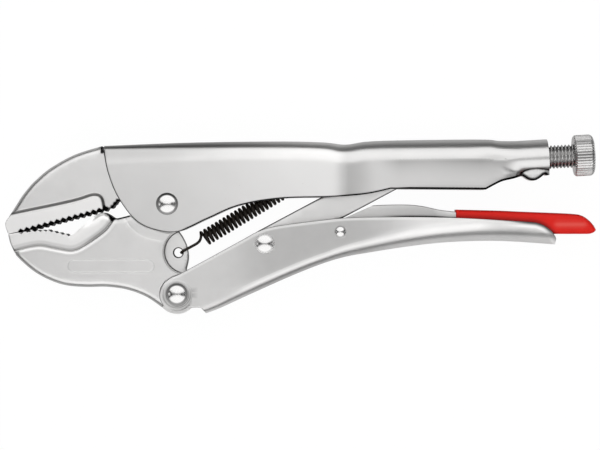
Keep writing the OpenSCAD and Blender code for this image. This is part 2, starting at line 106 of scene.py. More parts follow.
STEP_LINE = [[-66.6, -4.3], [-45.4, 0.1], [-37, 2.1], [-31, 3.9], [-27.6, 2.6], [-26.4, -2.6]]
THROAT_END = [-20.2, 2.2]
JAW_ROOT = [[-27.6, 21.4], [-10, 22.4], [-10, 2]]
TOOTH_PITCH, TOOTH_DEPTH, TOOTH_DROP = 2.63, 1.1, 1.2
THROAT_PITCH, THROAT_DEPTH, THROAT_DROP = 1.9, 0.45, 0.5
LOW_PITCH, LOW_DEPTH = 2.55, 0.75
TOOTH_START, TOOTH_END, THROAT_START = [-62.9, -11.85], [-24.75, -1.75], [-23.7, -1.9]
BITE = [[-40.3, -13.1], [-38.4, -11.8], [-34, -7.9], [-30, -4.8], [-27, -3.7],
        [-24.6, -4.6], [-22, -6.1], [-18.3, -5.5], [-15, -4.6]]
LOW_TEETH = [BITE[0], [-50, -10.8], [-59.2, -11.15]]
PARTING = [[-60.4, -11.75], [-61.6, -12.1], [-62.8, -12.1]]
JAW_BOTTOM = [[-67.1, -12.8], [-66.6, -15.3], [-65.8, -17.6], [-64.6, -20.1], [-62.2, -23.3],
              [-55.9, -28.6], [-49.2, -32.2], [-42.5, -34.3], [-34, -35], [-25.7, -34.9],
              [-17, -36.1], [-8.9, -39.1], [-2.2, -43.6]]
CHEEK_STEP = [[-64, -19.6], [-54.3, -17.6], [-47.1, -18.7], [-41.2, -19.7], [-37.2, -18.9],
              [-32, -15.8], [-25.9, -11.2], [-22.4, -6.4]]
TANG_RIGHT = [[7.9, -27.3], [8.8, -23], [8.3, -18.6], [6.8, -14.9], [4.7, -11.7], [1.6, -8.6]]
RELIEF_ARC = [[-17.7, -6.1], [-14.1, -10.8], [-9.3, -13.8], [-3, -15.2]]
# The lower handle is drawn from its own rivet. The release lever and its sleeve are drawn from the lever's.
LOW_EDGE = [[-5.4, 5.2], [-1.8, 7.3], [3, 9.5], [25.6, 21.8], [34.5, 26.6], [42, 28.7], [56, 30.6],
            [72, 32.2], [94, 32.5], [118, 32.1], [142, 30.8], [149.2, 30.3], [151.8, 29.9], [154.4, 28.9],
            [156.2, 27.7], [157.9, 26.2], [159.1, 24.6], [159.8, 23.4]]
LOW_BACK = [[12.2, -8.1], [18.3, -5.8], [29.2, -0.8], [47.1, 7.2], [60.9, 12.7], [71, 15.7],
            [81.1, 17.5], [94.5, 19.6], [108, 21.3], [122, 22.2], [138, 22.3], [159.7, 20.9]]
WEB_CORNERS = [[9.6, -5.6], [10.2, -5.8]]
LOW_BEND_X, LOW_BEND = [10, 35, 64, 94, 120, 145], [3.4, 3.8, 3.6, 6.2, 7.6, 9.0]
EAR_GROOVE_R = 5.75
LEVER_TOP = [[-4, 0], [-2, 8], [6, 10.2], [16, 11.2], [28, 11.4], [35, 10.7], [42, 9.2], [48.8, 8.4]]
LEVER_SKIRT = [[26, -1.6], [2, -4], [-2, -3.5]]
SLEEVE_X, TAIL_X = 48.8, 107.9
SLEEVE_TOP = [[SLEEVE_X, 9.3], [67, 8.85], [76, 8.45], [92.7, 7.8], [99.1, 7.4], [101.3, 7.0],
              [103.4, 6.0], [105.5, 4.3], [107.1, 2.4]]
SLEEVE_END = [[TAIL_X, 0.9], [TAIL_X - 0.15, 0.35], [107.1, -0.25], [106.2, -0.7], [105.2, -0.93],
              [104.2, -1], [SLEEVE_X, -1]]
# Seam under the tube: where it starts, the edge of the near wall, and the lip's lower line.
SEAM_X = 149.2
SEAM_TOP = [[149.2, 13.1], [151.1, 14.15], [153.4, 14.8], [155.7, 15.0], [158.6, 14.7], [161.2, 14.3]]
SEAM_LIP = [[149.1, 12.1], [150.4, 11.35], [151.7, 10.5], [152.95, 10.0], [154.2, 9.85], [155.5, 10.05],
            [156.75, 10.7], [158, 11.6], [158.9, 12.3], [159.7, 12.0]]

# How far tools reach to both sides, those that cut a hole and those that cut a side down.
THROUGH, OUTSIDE = 20, 40
# Rows at these distances from a forged edge follow its rounding.
FORGED_EDGE = (0.03, 0.09, 0.25, 0.5, 0.9)


# ---------------------------------------------------------------- node trees written as expressions
class Value:
    """One socket of a node tree, so that sums and products of sockets are plain expressions."""

    def __init__(self, tree, socket):
        self.tree, self.socket = tree, socket

    def math(self, operation, *others):
        return node(self.tree, "ShaderNodeMath", {"operation": operation}, dict(enumerate((self, *others))))

    def __add__(self, other):
        return self.math("ADD", other)

    def __sub__(self, other):
        return self.math("SUBTRACT", other)

    def __rsub__(self, other):
        return node(self.tree, "ShaderNodeMath", {"operation": "SUBTRACT"}, {0: other, 1: self})

    def __mul__(self, other):
        return self.math("MULTIPLY", other)

    def __truediv__(self, other):
        return self.math("DIVIDE", other)

    def __pow__(self, other):
        return self.math("POWER", other)

    __radd__ = __add__
    __rmul__ = __mul__

    def clamp(self, low=0.0, high=1.0):
        return self.math("MAXIMUM", low).math("MINIMUM", high)


def node(tree, kind, settings=None, inputs=None, output=0):
    """Adds a node, first its settings, then its sockets' values or links, and gives one output back."""
    made = tree.nodes.new(kind)
    for key, value in (settings or {}).items():
        setattr(made, key, value)
    for key, value in (inputs or {}).items():
        if isinstance(value, Value):
            tree.links.new(value.socket, made.inputs[key])
        else:
            made.inputs[key].default_value = value
    return Value(tree, made.outputs[output]) if made.outputs else made


# ---------------------------------------------------------------- finishes
def surface(name, colour, roughness, metallic, normal=None, **fixed):
    """A material of one Principled surface. colour, roughness and normal are functions of the tree;
    the other values are set on the shader's own sockets."""
    material = bpy.data.materials.new(name)
    material.use_nodes = True
    tree = material.node_tree
    tree.nodes.clear()
    inputs = {"Metallic": metallic, **{key.replace("_", " "): value for key, value in fixed.items()}}
    for key, value in (("Base Color", colour), ("Roughness", roughness), ("Normal", normal)):
        if value:
            inputs[key] = value(tree)
    shader = node(tree, "ShaderNodeBsdfPrincipled", {}, inputs)
    node(tree, "ShaderNodeOutputMaterial", {}, {"Surface": shader})
    return material


def place(tree):
    return node(tree, "ShaderNodeTexCoord", {}, {}, "Object")


def noise(tree, scale, detail):
    return node(tree, "ShaderNodeTexNoise", {}, {"Vector": place(tree), "Scale": scale, "Detail": detail})


# Reads each point's painted light and shade.
def shade(tree):
    return node(tree, "ShaderNodeAttribute", {"attribute_name": "shade"}, {}, "Fac")


def mixed(tree, factor, low, high):
    return node(tree, "ShaderNodeMix", {"data_type": "RGBA"}, {0: factor, 6: low, 7: high}, 2)


# How much warmer red is than blue in the greys, how deep painted shade darkens, and how bright a painted
# highlight may get.
WARMTH, DEEPEST_PAINTED_SHADE, BRIGHTEST_PAINTED_HIGHLIGHT = 0.008, 0.006, 0.98


def grey(level):
    """A grey with a little more red than blue."""
    return (level * (1 + WARMTH), level, level * (1 - WARMTH), 1)


def plated(name, level, rough, cloud_scale=70, grain_scale=1500, grain=0.1):
    """Plated steel: faint clouds, fine grain, painted shade where the shade attribute is above 0, painted
    highlight below.
    """
    def colour(tree):
        clouds = noise(tree, cloud_scale, 4)
        base = mixed(tree, clouds, grey(level * 0.95), grey(level * 1.05))
        # A painted highlight where the shade attribute is below 0, and painted shade where it is above.
        base = mixed(tree, (shade(tree) * -1).clamp(), base, grey(min(level * 1.3, BRIGHTEST_PAINTED_HIGHLIGHT)))
        return mixed(tree, shade(tree).clamp(), base, grey(level * DEEPEST_PAINTED_SHADE))

    def roughness(tree):
        return (rough + (noise(tree, cloud_scale * 2.3, 3) - 0.5) * 0.08
                + (noise(tree, grain_scale, 2) - 0.5) * 0.10 + shade(tree).clamp() * 0.2)

    def normal(tree):
        height = noise(tree, grain_scale, 3) + noise(tree, grain_scale * 0.28, 2) * 0.7
        return node(tree, "ShaderNodeBump", {}, {"Strength": grain, "Distance": 0.00006, "Height": height})
    return surface(name, colour, roughness, 1.0, normal)


SATIN_SHEET = plated("satin_sheet", 0.68, 0.31)
WORN_SHEET = plated("worn_sheet", 0.65, 0.38, cloud_scale=160, grain_scale=1200, grain=0.16)
FORGED_JAW = plated("forged_jaw", 0.73, 0.34, cloud_scale=110, grain_scale=1300, grain=0.16)
LINK_STEEL = plated("link_steel", 0.69, 0.38, cloud_scale=120, grain_scale=1400, grain=0.14)
BLADE_STEEL = plated("blade_steel", 0.58, 0.42, cloud_scale=140, grain_scale=1300, grain=0.12)
POLISHED_HEAD = plated("polished_head", 0.74, 0.19, cloud_scale=160, grain_scale=1500, grain=0.02)
ZINC_THREAD = plated("zinc_thread", 0.74, 0.26, cloud_scale=200, grain_scale=1800, grain=0.06)
KNOB_PLATE = plated("knob_plate", 0.64, 0.26, cloud_scale=150, grain_scale=1800, grain=0.06)


def spring_black():
    def colour(tree):
        return mixed(tree, noise(tree, 400, 3), (0.004, 0.0035, 0.003, 1), (0.028, 0.019, 0.012, 1))

    def roughness(tree):
        return 0.34 + noise(tree, 900, 2) * 0.14
    return surface("spring_black", colour, roughness, 0.25, Specular_IOR_Level=0.3)


def red_dip():
    """Soft red plastic dipped over the lever's tail."""
    def colour(tree):
        base = mixed(tree, noise(tree, 120, 3), (0.82, 0.014, 0.009, 1), (0.94, 0.022, 0.013, 1))
        # A painted highlight where the shade attribute is below 0, and painted shade where it is above.
        base = mixed(tree, (shade(tree) * -1).clamp(), base, (0.95, 0.10, 0.08, 1))
        return mixed(tree, shade(tree).clamp(), base, (0.14, 0.006, 0.008, 1))

    def roughness(tree):
        return 0.34 + noise(tree, 300, 3) * 0.12

    def normal(tree):
        height = noise(tree, 900, 3)
        return node(tree, "ShaderNodeBump", {}, {"Strength": 0.12, "Distance": 0.0002, "Height": height})
    return surface("red_dip", colour, roughness, 0.0, normal, Specular_IOR_Level=0.16)


SPRING_BLACK = spring_black()
RED_DIP = red_dip()


# ---------------------------------------------------------------- lines in the plane of the tool
def spline(points, steps=8):
    """Smooth curve through the points, with steps places to a span."""
    p = np.asarray(points, float)
    p = np.vstack([p[0], p, p[-1]])
    t = np.linspace(0, 1, steps, endpoint=False)[:, None]
    rows = []
    for a, b, c, d in zip(p[:-3], p[1:-2], p[2:-1], p[3:]):
        rows.append(b + t / 2 * (c - a) + t * t / 2 * (2 * a - 5 * b + 4 * c - d)
                    + t ** 3 / 2 * (3 * b - a - 3 * c + d))
    return np.vstack(rows + [p[-1:]])


def spaced(line, step, closed=False):
    """The line with no piece of it longer than step; its own corners stay."""
    line = np.asarray(line, float)
    ends = np.roll(line, -1, 0) if closed else line[1:]
    out = []
    for a, b in zip(line, ends):
        n = max(1, math.ceil(np.hypot(*(b - a)) / step - 1e-6))
        out.append(a + (b - a) * np.arange(n)[:, None] / n)
    if not closed:
        out.append(line[-1:])
    out = np.vstack(out)
    keep = np.hypot(*(out - np.roll(out, 1, 0)).T) > 1e-4
    keep[0] = True
    return out[keep]


def moved(line, distance, closed=False):
    """The line moved to its left by a distance, one number or one for each point."""
    line = np.asarray(line, float)
    if closed:
        before, after = line - np.roll(line, 1, 0), np.roll(line, -1, 0) - line
    else:
        step = np.diff(line, axis=0)
        before, after = np.vstack([step[:1], step]), np.vstack([step, step[-1:]])
    unit = [v / np.maximum(np.hypot(*v.T), 1e-9)[:, None] for v in (before, after)]
    both = unit[0] + unit[1]
    both /= np.maximum(np.hypot(*both.T), 1e-9)[:, None]
    miter = np.clip(1 / np.maximum((both * unit[0]).sum(1), 1e-3), 1, 1.5)
    return line + np.stack([-both[:, 1], both[:, 0]], 1) * (miter * distance)[:, None]


def nearest(points, line, closed=False):
    """(distance, 1 on the left and -1 on the right of the line, nearest place) for each point."""
    line = np.asarray(line, float)
    a, b = (line, np.roll(line, -1, 0)) if closed else (line[:-1], line[1:])
    ab = b - a
    span = np.maximum((ab * ab).sum(1), 1e-12)
    found = []
    for part in np.array_split(points, max(1, len(points) // 3000 + 1)):
        ap = part[:, None] - a
        t = np.clip((ap * ab).sum(2) / span, 0, 1)
        near = a + t[..., None] * ab
        gap = part[:, None] - near
        d = (gap * gap).sum(2)
        k = d.argmin(1)
        i = np.arange(len(part))
        cross = ab[k, 0] * ap[i, k, 1] - ab[k, 1] * ap[i, k, 0]
        found.append((np.sqrt(d[i, k]), np.where(cross >= 0, 1.0, -1.0), near[i, k]))
    return [np.concatenate(column) for column in zip(*found)]


def from_line(points, line, closed=False):
    """Distance of each point from the line."""
    return nearest(points, line, closed)[0]


def from_place(points, at):
    """Distance of each point from one place."""
    return np.hypot(*(points - at).T)


def inside(points, outline):
    """True for the points that lie in a closed outline."""
    x, y = points.T
    hit = np.zeros(len(points), bool)
    for (x0, y0), (x1, y1) in zip(outline, np.roll(outline, -1, 0)):
        if y0 != y1:
            hit ^= ((y0 > y) != (y1 > y)) & (x < (x1 - x0) * (y - y0) / (y1 - y0) + x0)
    return hit


def arc(centre, r, start, end, steps):
    """Points on a circle between two angles in degrees."""
    a = np.radians(np.linspace(start, end, steps + 1))
    return np.asarray(centre) + r * np.stack([np.cos(a), np.sin(a)], 1)


def counterclockwise(outline):
    """The closed outline, turned round where it runs clockwise."""
    outline = np.asarray(outline, float)
    x, y = outline.T
    return outline if (x * np.roll(y, -1) - y * np.roll(x, -1)).sum() > 0 else outline[::-1]


def ease(t):
    """0 to 1, with no corner at either end."""
    t = np.clip(t, 0, 1)
    return t * t * (3 - 2 * t)


def rise(x, start, length):
    """0 up to the start and 1 once x is a length past it."""
    return ease((x - start) / length)


def fall(x, end, length):
    """1 while x is a length short of the end, and 0 past the end."""
    return ease((end - x) / length)


def peak(distance, width):
    """1 at no distance, and a bell that is a third as high at the width."""
    return np.exp(-(distance / width) ** 2)


def bend(distance, r):
    """How far a rounded edge of radius r has dropped at a distance from its outline."""
    d = np.clip(distance, 0, r)
    return r - np.sqrt(np.maximum(r * r - (r - d) ** 2, 0))


def round_steps(degrees):
    """How far a bend of radius 1 has gone in from its edge when it has turned by each of the angles."""
    return 1 - np.cos(np.radians(degrees))


def teeth(a, b, pitch, depth):
    """Saw of equal teeth from a to b, tips on the line and roots to its left."""
    a, b = np.asarray(a, float), np.asarray(b, float)
    n = max(1, round(np.hypot(*(b - a)) / pitch))
    along = (b - a) / n
    left = np.array([-along[1], along[0]]) / np.hypot(*along) * depth
    return np.array([a + along * (i + k / 2) + k * left for i in range(n) for k in (0, 1)])


# ---------------------------------------------------------------- solids
def solid(name, points, faces, finish, shades):
    """A mesh of the points, in millimetres from the jaw pivot, moved to its place in the frame."""
    mesh = bpy.data.meshes.new(name)
    mesh.from_pydata(((np.asarray(points, float) + JAW_PIVOT) * MM).tolist(), [], faces)
    mesh.validate()
    # The painted shade of each point, which the finishes read.
    layer = mesh.attributes.new("shade", "FLOAT", "POINT").data
    layer.foreach_set("value", np.asarray(shades, np.float32))
    piece = bpy.data.objects.new(name, mesh)
    bpy.context.scene.collection.objects.link(piece)
    mesh.materials.append(finish)
    soften(piece)
    return piece


def soften(piece, angle=35):
    """Smooth faces, with edges kept sharp above the angle."""
    mesh = piece.data
    mesh.polygons.foreach_set("use_smooth", [True] * len(mesh.polygons))
    mesh.set_sharp_from_angle(angle=math.radians(angle))


def row_points(edge, edge_rows, rows, step):
    """Lists of the points on the outline and on the rows that lie in it, and the pairs that lines join."""
    points, links = [edge], [(i, (i + 1) % len(edge)) for i in range(len(edge))]
    count = len(edge)
    families = [(edge, d, True) for d in edge_rows]
    families += [(spaced(line, step), d, False) for line, distances in rows for d in distances]
    for line, d, closed in families:
        distance = each(d, line)
        row = moved(line, distance, closed)
        clear = np.abs(distance) * 0.93 if closed else 0.04
        keep = inside(row, edge) & (from_line(row, edge, closed=True) > clear)
        at = np.cumsum(keep) - 1 + count
        pairs = [(i, (i + 1) % len(row)) for i in range(len(row) if closed else len(row) - 1)]
        links += [(at[i], at[j]) for i, j in pairs if keep[i] and keep[j]]
        points.append(row[keep])
        count += keep.sum()
    return points, links


def field_points(edge, grid):
    """A square grid of points that fills the outline."""
    low, high = edge.min(0), edge.max(0)
    x, y = np.meshgrid(*(np.arange(low[i] + grid / 2, high[i], grid) for i in (0, 1)))
    field = np.stack([x.ravel(), y.ravel()], 1)
    field = field[inside(field, edge)]
    return field[from_line(field, edge, closed=True) > grid * 0.35]


def triangulated(edge, flat, links):
    """Places and triangles of the flat mesh that fills the outline and follows the links."""
    made = geometry.delaunay_2d_cdt([Vector(p) for p in flat], [(int(a), int(b)) for a, b in links],
                                    [list(range(len(edge)))], 1, 1e-4, False)
    spots = np.array([tuple(v) for v in made[0]])
    triangles = np.array([f for f in made[2] if len(f) == 3])
    triangles = triangles[inside(spots[triangles].mean(1), edge)]
    a, b, c = (spots[triangles[:, i]] for i in range(3))
    area = (b[:, 0] - a[:, 0]) * (c[:, 1] - a[:, 1]) - (b[:, 1] - a[:, 1]) * (c[:, 0] - a[:, 0])
    triangles[area < 0] = triangles[area < 0][:, ::-1]
    return spots, triangles


def tilt_of(height, spots):
    """Degrees by which the face leans away from the plane of the tool at each place."""
    nudge = 0.03
    slope = [(height(spots + d)[0] - height(spots - d)[0]) / (2 * nudge) for d in ([nudge, 0], [0, nudge])]
    return np.degrees(np.arctan(np.hypot(*slope)))


def relief(name, outline, height, finish, rows, edge_rows, grid, step=0.8,
           rim=0.0, wall=0.0, turn=0.0, rim_width=0.42):
    """A plate that is the same on both faces. height(points) gives half its thickness, and the painted
    shade of each place. rows are (line, distances) that the mesh follows; edge_rows follow the outline.
    rim, wall and turn add painted shade on the edge, the side wall, and where the face turns away."""
    edge = spaced(counterclockwise(outline), step, closed=True)
    points, links = row_points(edge, edge_rows, rows, step)
    spots, triangles = triangulated(edge, np.vstack([*points, field_points(edge, grid)]), links)
    half, shades = height(spots)
    half = np.maximum(half, 0.05)
    shades = shades + each(rim, spots) * peak(from_line(spots, edge, closed=True), rim_width)
    if callable(turn) or turn:
        tilt = tilt_of(height, spots)
        shades = shades + each(turn, spots) * rise(tilt, 30, 9) * (1 - 0.35 * rise(tilt, 48, 16))

    # Both faces, and round them a wall of three bands between the open edges.
    n = len(spots)
    directed = {(t[i], t[(i + 1) % 3]) for t in triangles.tolist() for i in range(3)}
    border = [(p, q) for p, q in directed if (q, p) not in directed]
    rim_spots = sorted({p for pair in border for p in pair})
    m = len(rim_spots)
    upper_ring = {p: 2 * n + i for i, p in enumerate(rim_spots)}
    faces = triangles.tolist() + (triangles[:, ::-1] + n).tolist()
    for p, q in sorted(border):
        a, b = upper_ring[p], upper_ring[q]
        faces += [[q, p, a, b], [b, a, a + m, b + m], [b + m, a + m, p + n, q + n]]
    top = np.column_stack([spots, half])
    ring = top[rim_spots] - [0, 0, 1] * np.minimum(0.3, half[rim_spots] * 0.4)[:, None]
    points = np.vstack([top, top * [1, 1, -1], ring, ring * [1, 1, -1]])
    wall_shades = np.broadcast_to(each(wall, spots[rim_spots]), m)
    return solid(name, points, faces, finish, np.concatenate([shades, shades, wall_shades, wall_shades]))


def each(amount, points):
    """An amount that is one number, or a function of the points."""
    return amount(points) if callable(amount) else amount


def slab(name, outline, low, high, finish=None):
    """A straight plate between two heights."""
    edge = counterclockwise(outline)
    n = len(edge)
    points = np.vstack([np.column_stack([edge, np.full(n, high)]), np.column_stack([edge, np.full(n, low)])])
    faces = [list(range(n)), list(range(2 * n - 1, n - 1, -1))]
    faces += [[(i + 1) % n, i, i + n, (i + 1) % n + n] for i in range(n)]
    return solid(name, points, faces, finish or SATIN_SHEET, np.zeros(2 * n))


def slabs(name, outline, low):
    """Two tools that cut a piece down to a plate which reaches low to both sides."""
    return [slab(name, outline, low, OUTSIDE), slab(name, outline, -OUTSIDE, -low)]


def rod(name, start, end, r, sides=64, finish=None):
    """A round bar between two places."""
    start, end = np.asarray(start, float), np.asarray(end, float)
    along = (end - start) / np.linalg.norm(end - start)
    across = np.cross(along, [0, 0, 1]) if abs(along[2]) < 0.9 else np.array([1.0, 0, 0])
    across /= np.linalg.norm(across)
    up = np.cross(along, across)
    a = np.linspace(0, 2 * math.pi, sides, endpoint=False)[:, None]
    ring = r * (np.cos(a) * across + np.sin(a) * up)
    faces = [list(range(sides - 1, -1, -1)), list(range(sides, 2 * sides))]
    faces += [[i, (i + 1) % sides, (i + 1) % sides + sides, i + sides] for i in range(sides)]
    points = np.vstack([start + ring, end + ring])
    return solid(name, points, faces, finish or SATIN_SHEET, np.zeros(2 * sides))


def hole(at, r):
    """A tool that cuts a round hole through a piece."""
    return rod("hole", [*at, -THROUGH], [*at, THROUGH], r)


def bar_on_screw(name, start, end, r, sides=64, finish=None):
    """A round bar on the screw's axis, between two distances from the mouth of the tube."""
    places = [np.append(TUBE_MOUTH + s * SCREW_DIR, 0) for s in (start, end)]
    return rod(name, *places, r, sides, finish)


def bend_rows(places, radii, parts, side=1):
    """Distances for rows at these parts of a bend's radius, which changes along x."""
    return [lambda line, k=k: side * np.interp(line[:, 0], places, radii) * k for k in parts]


def baked(piece):
    """The piece with its modifiers worked into a plain mesh."""
    graph = bpy.context.evaluated_depsgraph_get()
    mesh = bpy.data.meshes.new_from_object(piece.evaluated_get(graph))
    mesh.name = piece.name
    piece.modifiers.clear()
    piece.data = mesh
    return piece


def joined(piece, operation, tools):
    """The piece with the tools cut from it, or added to it."""
    for tool in tools:
        change = piece.modifiers.new(operation, "BOOLEAN")
        change.operation, change.solver, change.object = operation, "MANIFOLD", tool
    baked(piece)
    for tool in tools:
        bpy.data.objects.remove(tool)
    soften(piece)
    return piece


def cut(piece, *tools):
    """The piece with the tools, or lists of tools, cut from it."""
    flat = [tool for group in tools for tool in (group if isinstance(group, list) else [group])]
    return joined(piece, "DIFFERENCE", flat)


def added(piece, *tools):
    return joined(piece, "UNION", tools)


# ---------------------------------------------------------------- upper handle
BACK = spline(UPPER_BACK)
LOWER_LINE = np.vstack([spline(UPPER_EDGE), spline(UPPER_REAR)])
SEAM_LIP_LINE = spline(SEAM_LIP)
FACET_REACH, UPPER_FACET, LOWER_FACET = 8.8, math.tan(math.radians(6)), math.tan(math.radians(4))
HOLLOW_END = 140.9


def upper_half(x):
    """Half width of the upper handle, which the crimp narrows towards the tube."""
    return HALF_BODY - (HALF_BODY - HALF_REAR + 0.2) * rise(x, 69, 11) + 0.2 * rise(x, 80, 16)


def upper_handle_height(p):
    x, y = p.T
    d, _, near = nearest(p, BACK)
    r = np.interp(near[:, 0], BACK_X, BACK_BEND)
    facet = UPPER_FACET * np.maximum(FACET_REACH - d, 0) * (0.75 + 0.5 * rise(x, 60, 30))
    facet *= fall(d, FACET_REACH, 4.2) * (1 - rise(x, 126, 16))
    wall = upper_half(x) - facet - bend(d, r)
    # The side wall turns into the round tube, whose lower half is fuller until about where the seam starts.
    u = (y - TUBE_MOUTH[1]) * SCREW_DIR[0] - (x - TUBE_MOUTH[0]) * SCREW_DIR[1]
    tube = np.sqrt(np.maximum(HALF_REAR ** 2 - u * u, 0.01))
    full = 6.1 + 0.5 * (tube - 6.1 + np.sqrt((tube - 6.1) ** 2 + 0.6))
    tube = np.where(u < 0, tube + (full - tube) * (1 - rise(x, 146.5, 4)), tube)
    t = np.clip((y - 12.5) / 4.5, 0, 1)
    start, end = 141 - 5 * t, 149.4 - 0.4 * t
    z = wall + (tube - wall) * rise(x, start, end - start)
    lower = from_line(p, LOWER_LINE)
    z -= np.where(x < SEAM_X, bend(lower, 0.35), 0)
    # Seam: the near wall ends above the cut edge of the far one, which shows as a lens brightened by a
    # painted highlight.
    seam = np.interp(x, *np.array(SEAM_TOP).T)
    below = fall(y, seam, 0.3) * rise(x, SEAM_X, 0.3)
    edge = from_line(p, SEAM_LIP_LINE)
    lip = 4.4 - bend(edge, 1.2)
    z = z + (np.minimum(lip, 4.4) - z) * below
    # Painted shade on the near wall's edge, along the tube's middle, at the seam's left tip, on the lip's
    # underside and at its right end, and a painted highlight on the lens.
    dark = (0.95 - 0.35 * rise(x, 150.5, 3)) * peak(y - seam + 0.1, 0.42) * rise(x, 149, 0.8)
    dark += 0.3 * peak(u + 0.6, 0.5) * rise(x, 142, 5)
    dark += 0.9 * peak(x - 149.15, 0.4) * fall(y, 13.7, 0.5)
    dark += 0.95 * fall(edge, 1.45, 0.5) * rise(x, SEAM_X, 0.8)
    dark += 0.5 * rise(x, 158.8, 0.6) * fall(y, 14.3, 0.5)
    dark -= 0.8 * below * rise(edge, 1.2, 0.5) * fall(y, seam - 0.5, 0.4) * fall(x, 159, 1)
    return z, np.clip(dark + painted_side_shading(x, d, lower), -1, 1)


def painted_side_shading(x, d, lower):
    """Painted highlight towards the crimp, painted shade just behind it and under the long crease at the
    rear.
    """
    tone = (-0.06 - 0.66 * rise(x, -10, 85) * (1 - rise(x, 71, 5))) * (0.16 + 0.84 * rise(d, 1.5, 3.2))
    tone += 0.24 * (1 - rise(x, 18, 50)) * fall(d, 11, 7)
    tone += 0.30 * rise(x, 69.5, 9) * (1 - rise(x, 79, 12)) * rise(d, 6.5, 3)
    under = np.interp(x, [86, 98, 111, 132, 144, 148], [0, 0.42, 0.37, 0.58, 0.35, 0])
    tone += under * np.exp(-np.maximum(d - 8.8, 0) / 4.2) * rise(d, 8.0, 1.0)
    return tone + 0.18 * fall(lower, 3.2, 3) * rise(x, 95, 15) * (1 - rise(x, 146, 3))


def painted_upper_rim(p):
    """Painted shade along the lower edge, none on the back, and none on the tube, which has its own painted
    shade.
    """
    x = p[:, 0]
    strength = 0.85 + 2.3 * rise(x, 5, 4) + 9.0 * rise(x, 96, 8) + 20 * rise(x, 138, 3)
    return np.where((from_line(p, LOWER_LINE) < 1.5) & (x < 149), strength, 0.0)


def make_upper_handle():
    across = np.array([-SCREW_DIR[1], SCREW_DIR[0]])
    mouth = [TUBE_MOUTH - (HALF_REAR - 0.02) * across, TUBE_MOUTH + (HALF_REAR - 0.02) * across]
    outline = np.vstack([LOWER_LINE, SEAM_LIP_LINE[4:], mouth, BACK[::-1]])
    back_rows = bend_rows(BACK_X, BACK_BEND, round_steps([14, 24, 34, 44, 54, 64, 75, 90]), side=-1)
    tube_rows = [0.9, 1.8, 2.8, 3.6, 4.4, 5.2, 6, 6.6, 7.2]
    rows = [(BACK, back_rows + [-d for d in (0.04, 5.5, 6.2, 7, 7.8, 8.6, 9.4)]),
            (spline(SEAM_TOP), (-0.45, -0.3, -0.15, 0, 0.2)),
            (SEAM_LIP_LINE, (0.15, 0.4, 0.7, 1.0, 1.3)),
            ([[SEAM_X, 11.6], [SEAM_X, 13.9]], (-0.3, -0.1, 0.1, 0.3)),
            (LOWER_LINE, (0.05, 0.14, 0.35, 0.6, 0.95)),
            ([[136, 19.2], [161, 20.2]], [-d for d in tube_rows[::-1]] + [0] + tube_rows)]
    # The lower edge, and where the face turns away, carry painted shade.
    piece = relief("upper_handle_shell", outline, upper_handle_height, SATIN_SHEET, rows, (), grid=1.5,
                   rim=painted_upper_rim, turn=0.58)

    roof = moved(BACK, -SHEET)
    roof = roof[(roof[:, 0] > -26) & (roof[:, 0] < HOLLOW_END)]
    hollow = np.vstack([[[HOLLOW_END, -30], [HOLLOW_END, roof[-1, 1]]], roof[::-1],
                        [[-40, roof[0, 1]], [-40, -30]]])

    def hollow_height(p):
        r = np.interp(p[:, 0], BACK_X, np.maximum(np.array(BACK_BEND) - SHEET, 0.3))
        return upper_half(p[:, 0]) - SHEET - bend(from_line(p, roof), r), np.zeros(len(p))
    space = relief("space", hollow, hollow_height, SATIN_SHEET,
                   [(roof[::-1], (0.1, 0.4, 1.0, 2.0, 3.2, 4.6))], (), grid=4.0, step=2.0)
    cut(piece, space, bar_on_screw("bore", -30, 8, TUBE_BORE_R), hole((0, 0), RIVET_R))
    low_x, high_x = LUG_X - 0.8, LUG_X + 0.8
    lug = slab("lug", [[low_x, LUG_Y - 2.6], [high_x, LUG_Y - 2.6], [high_x, 24], [low_x, 24]], -2.5, 2.5)
    cut(lug, rod("lug_hole", [60, LUG_Y, 0], [80, LUG_Y, 0], 1.3))
    return combined(piece, lug)


def combined(piece, *others):
    """Joins separate solids into one object."""
    with bpy.context.temp_override(active_object=piece, selected_editable_objects=[piece, *others],
                                   selected_objects=[piece, *others], object=piece):
        bpy.ops.object.join()
    return piece


# ---------------------------------------------------------------- lower handle
EAR_ARC = arc([0, 0], EAR_R, 133, 308, 40)
LOW_OUTLINE = np.vstack([EAR_ARC, WEB_CORNERS, spline(LOW_BACK), spline(LOW_EDGE)[::-1][:-6]])


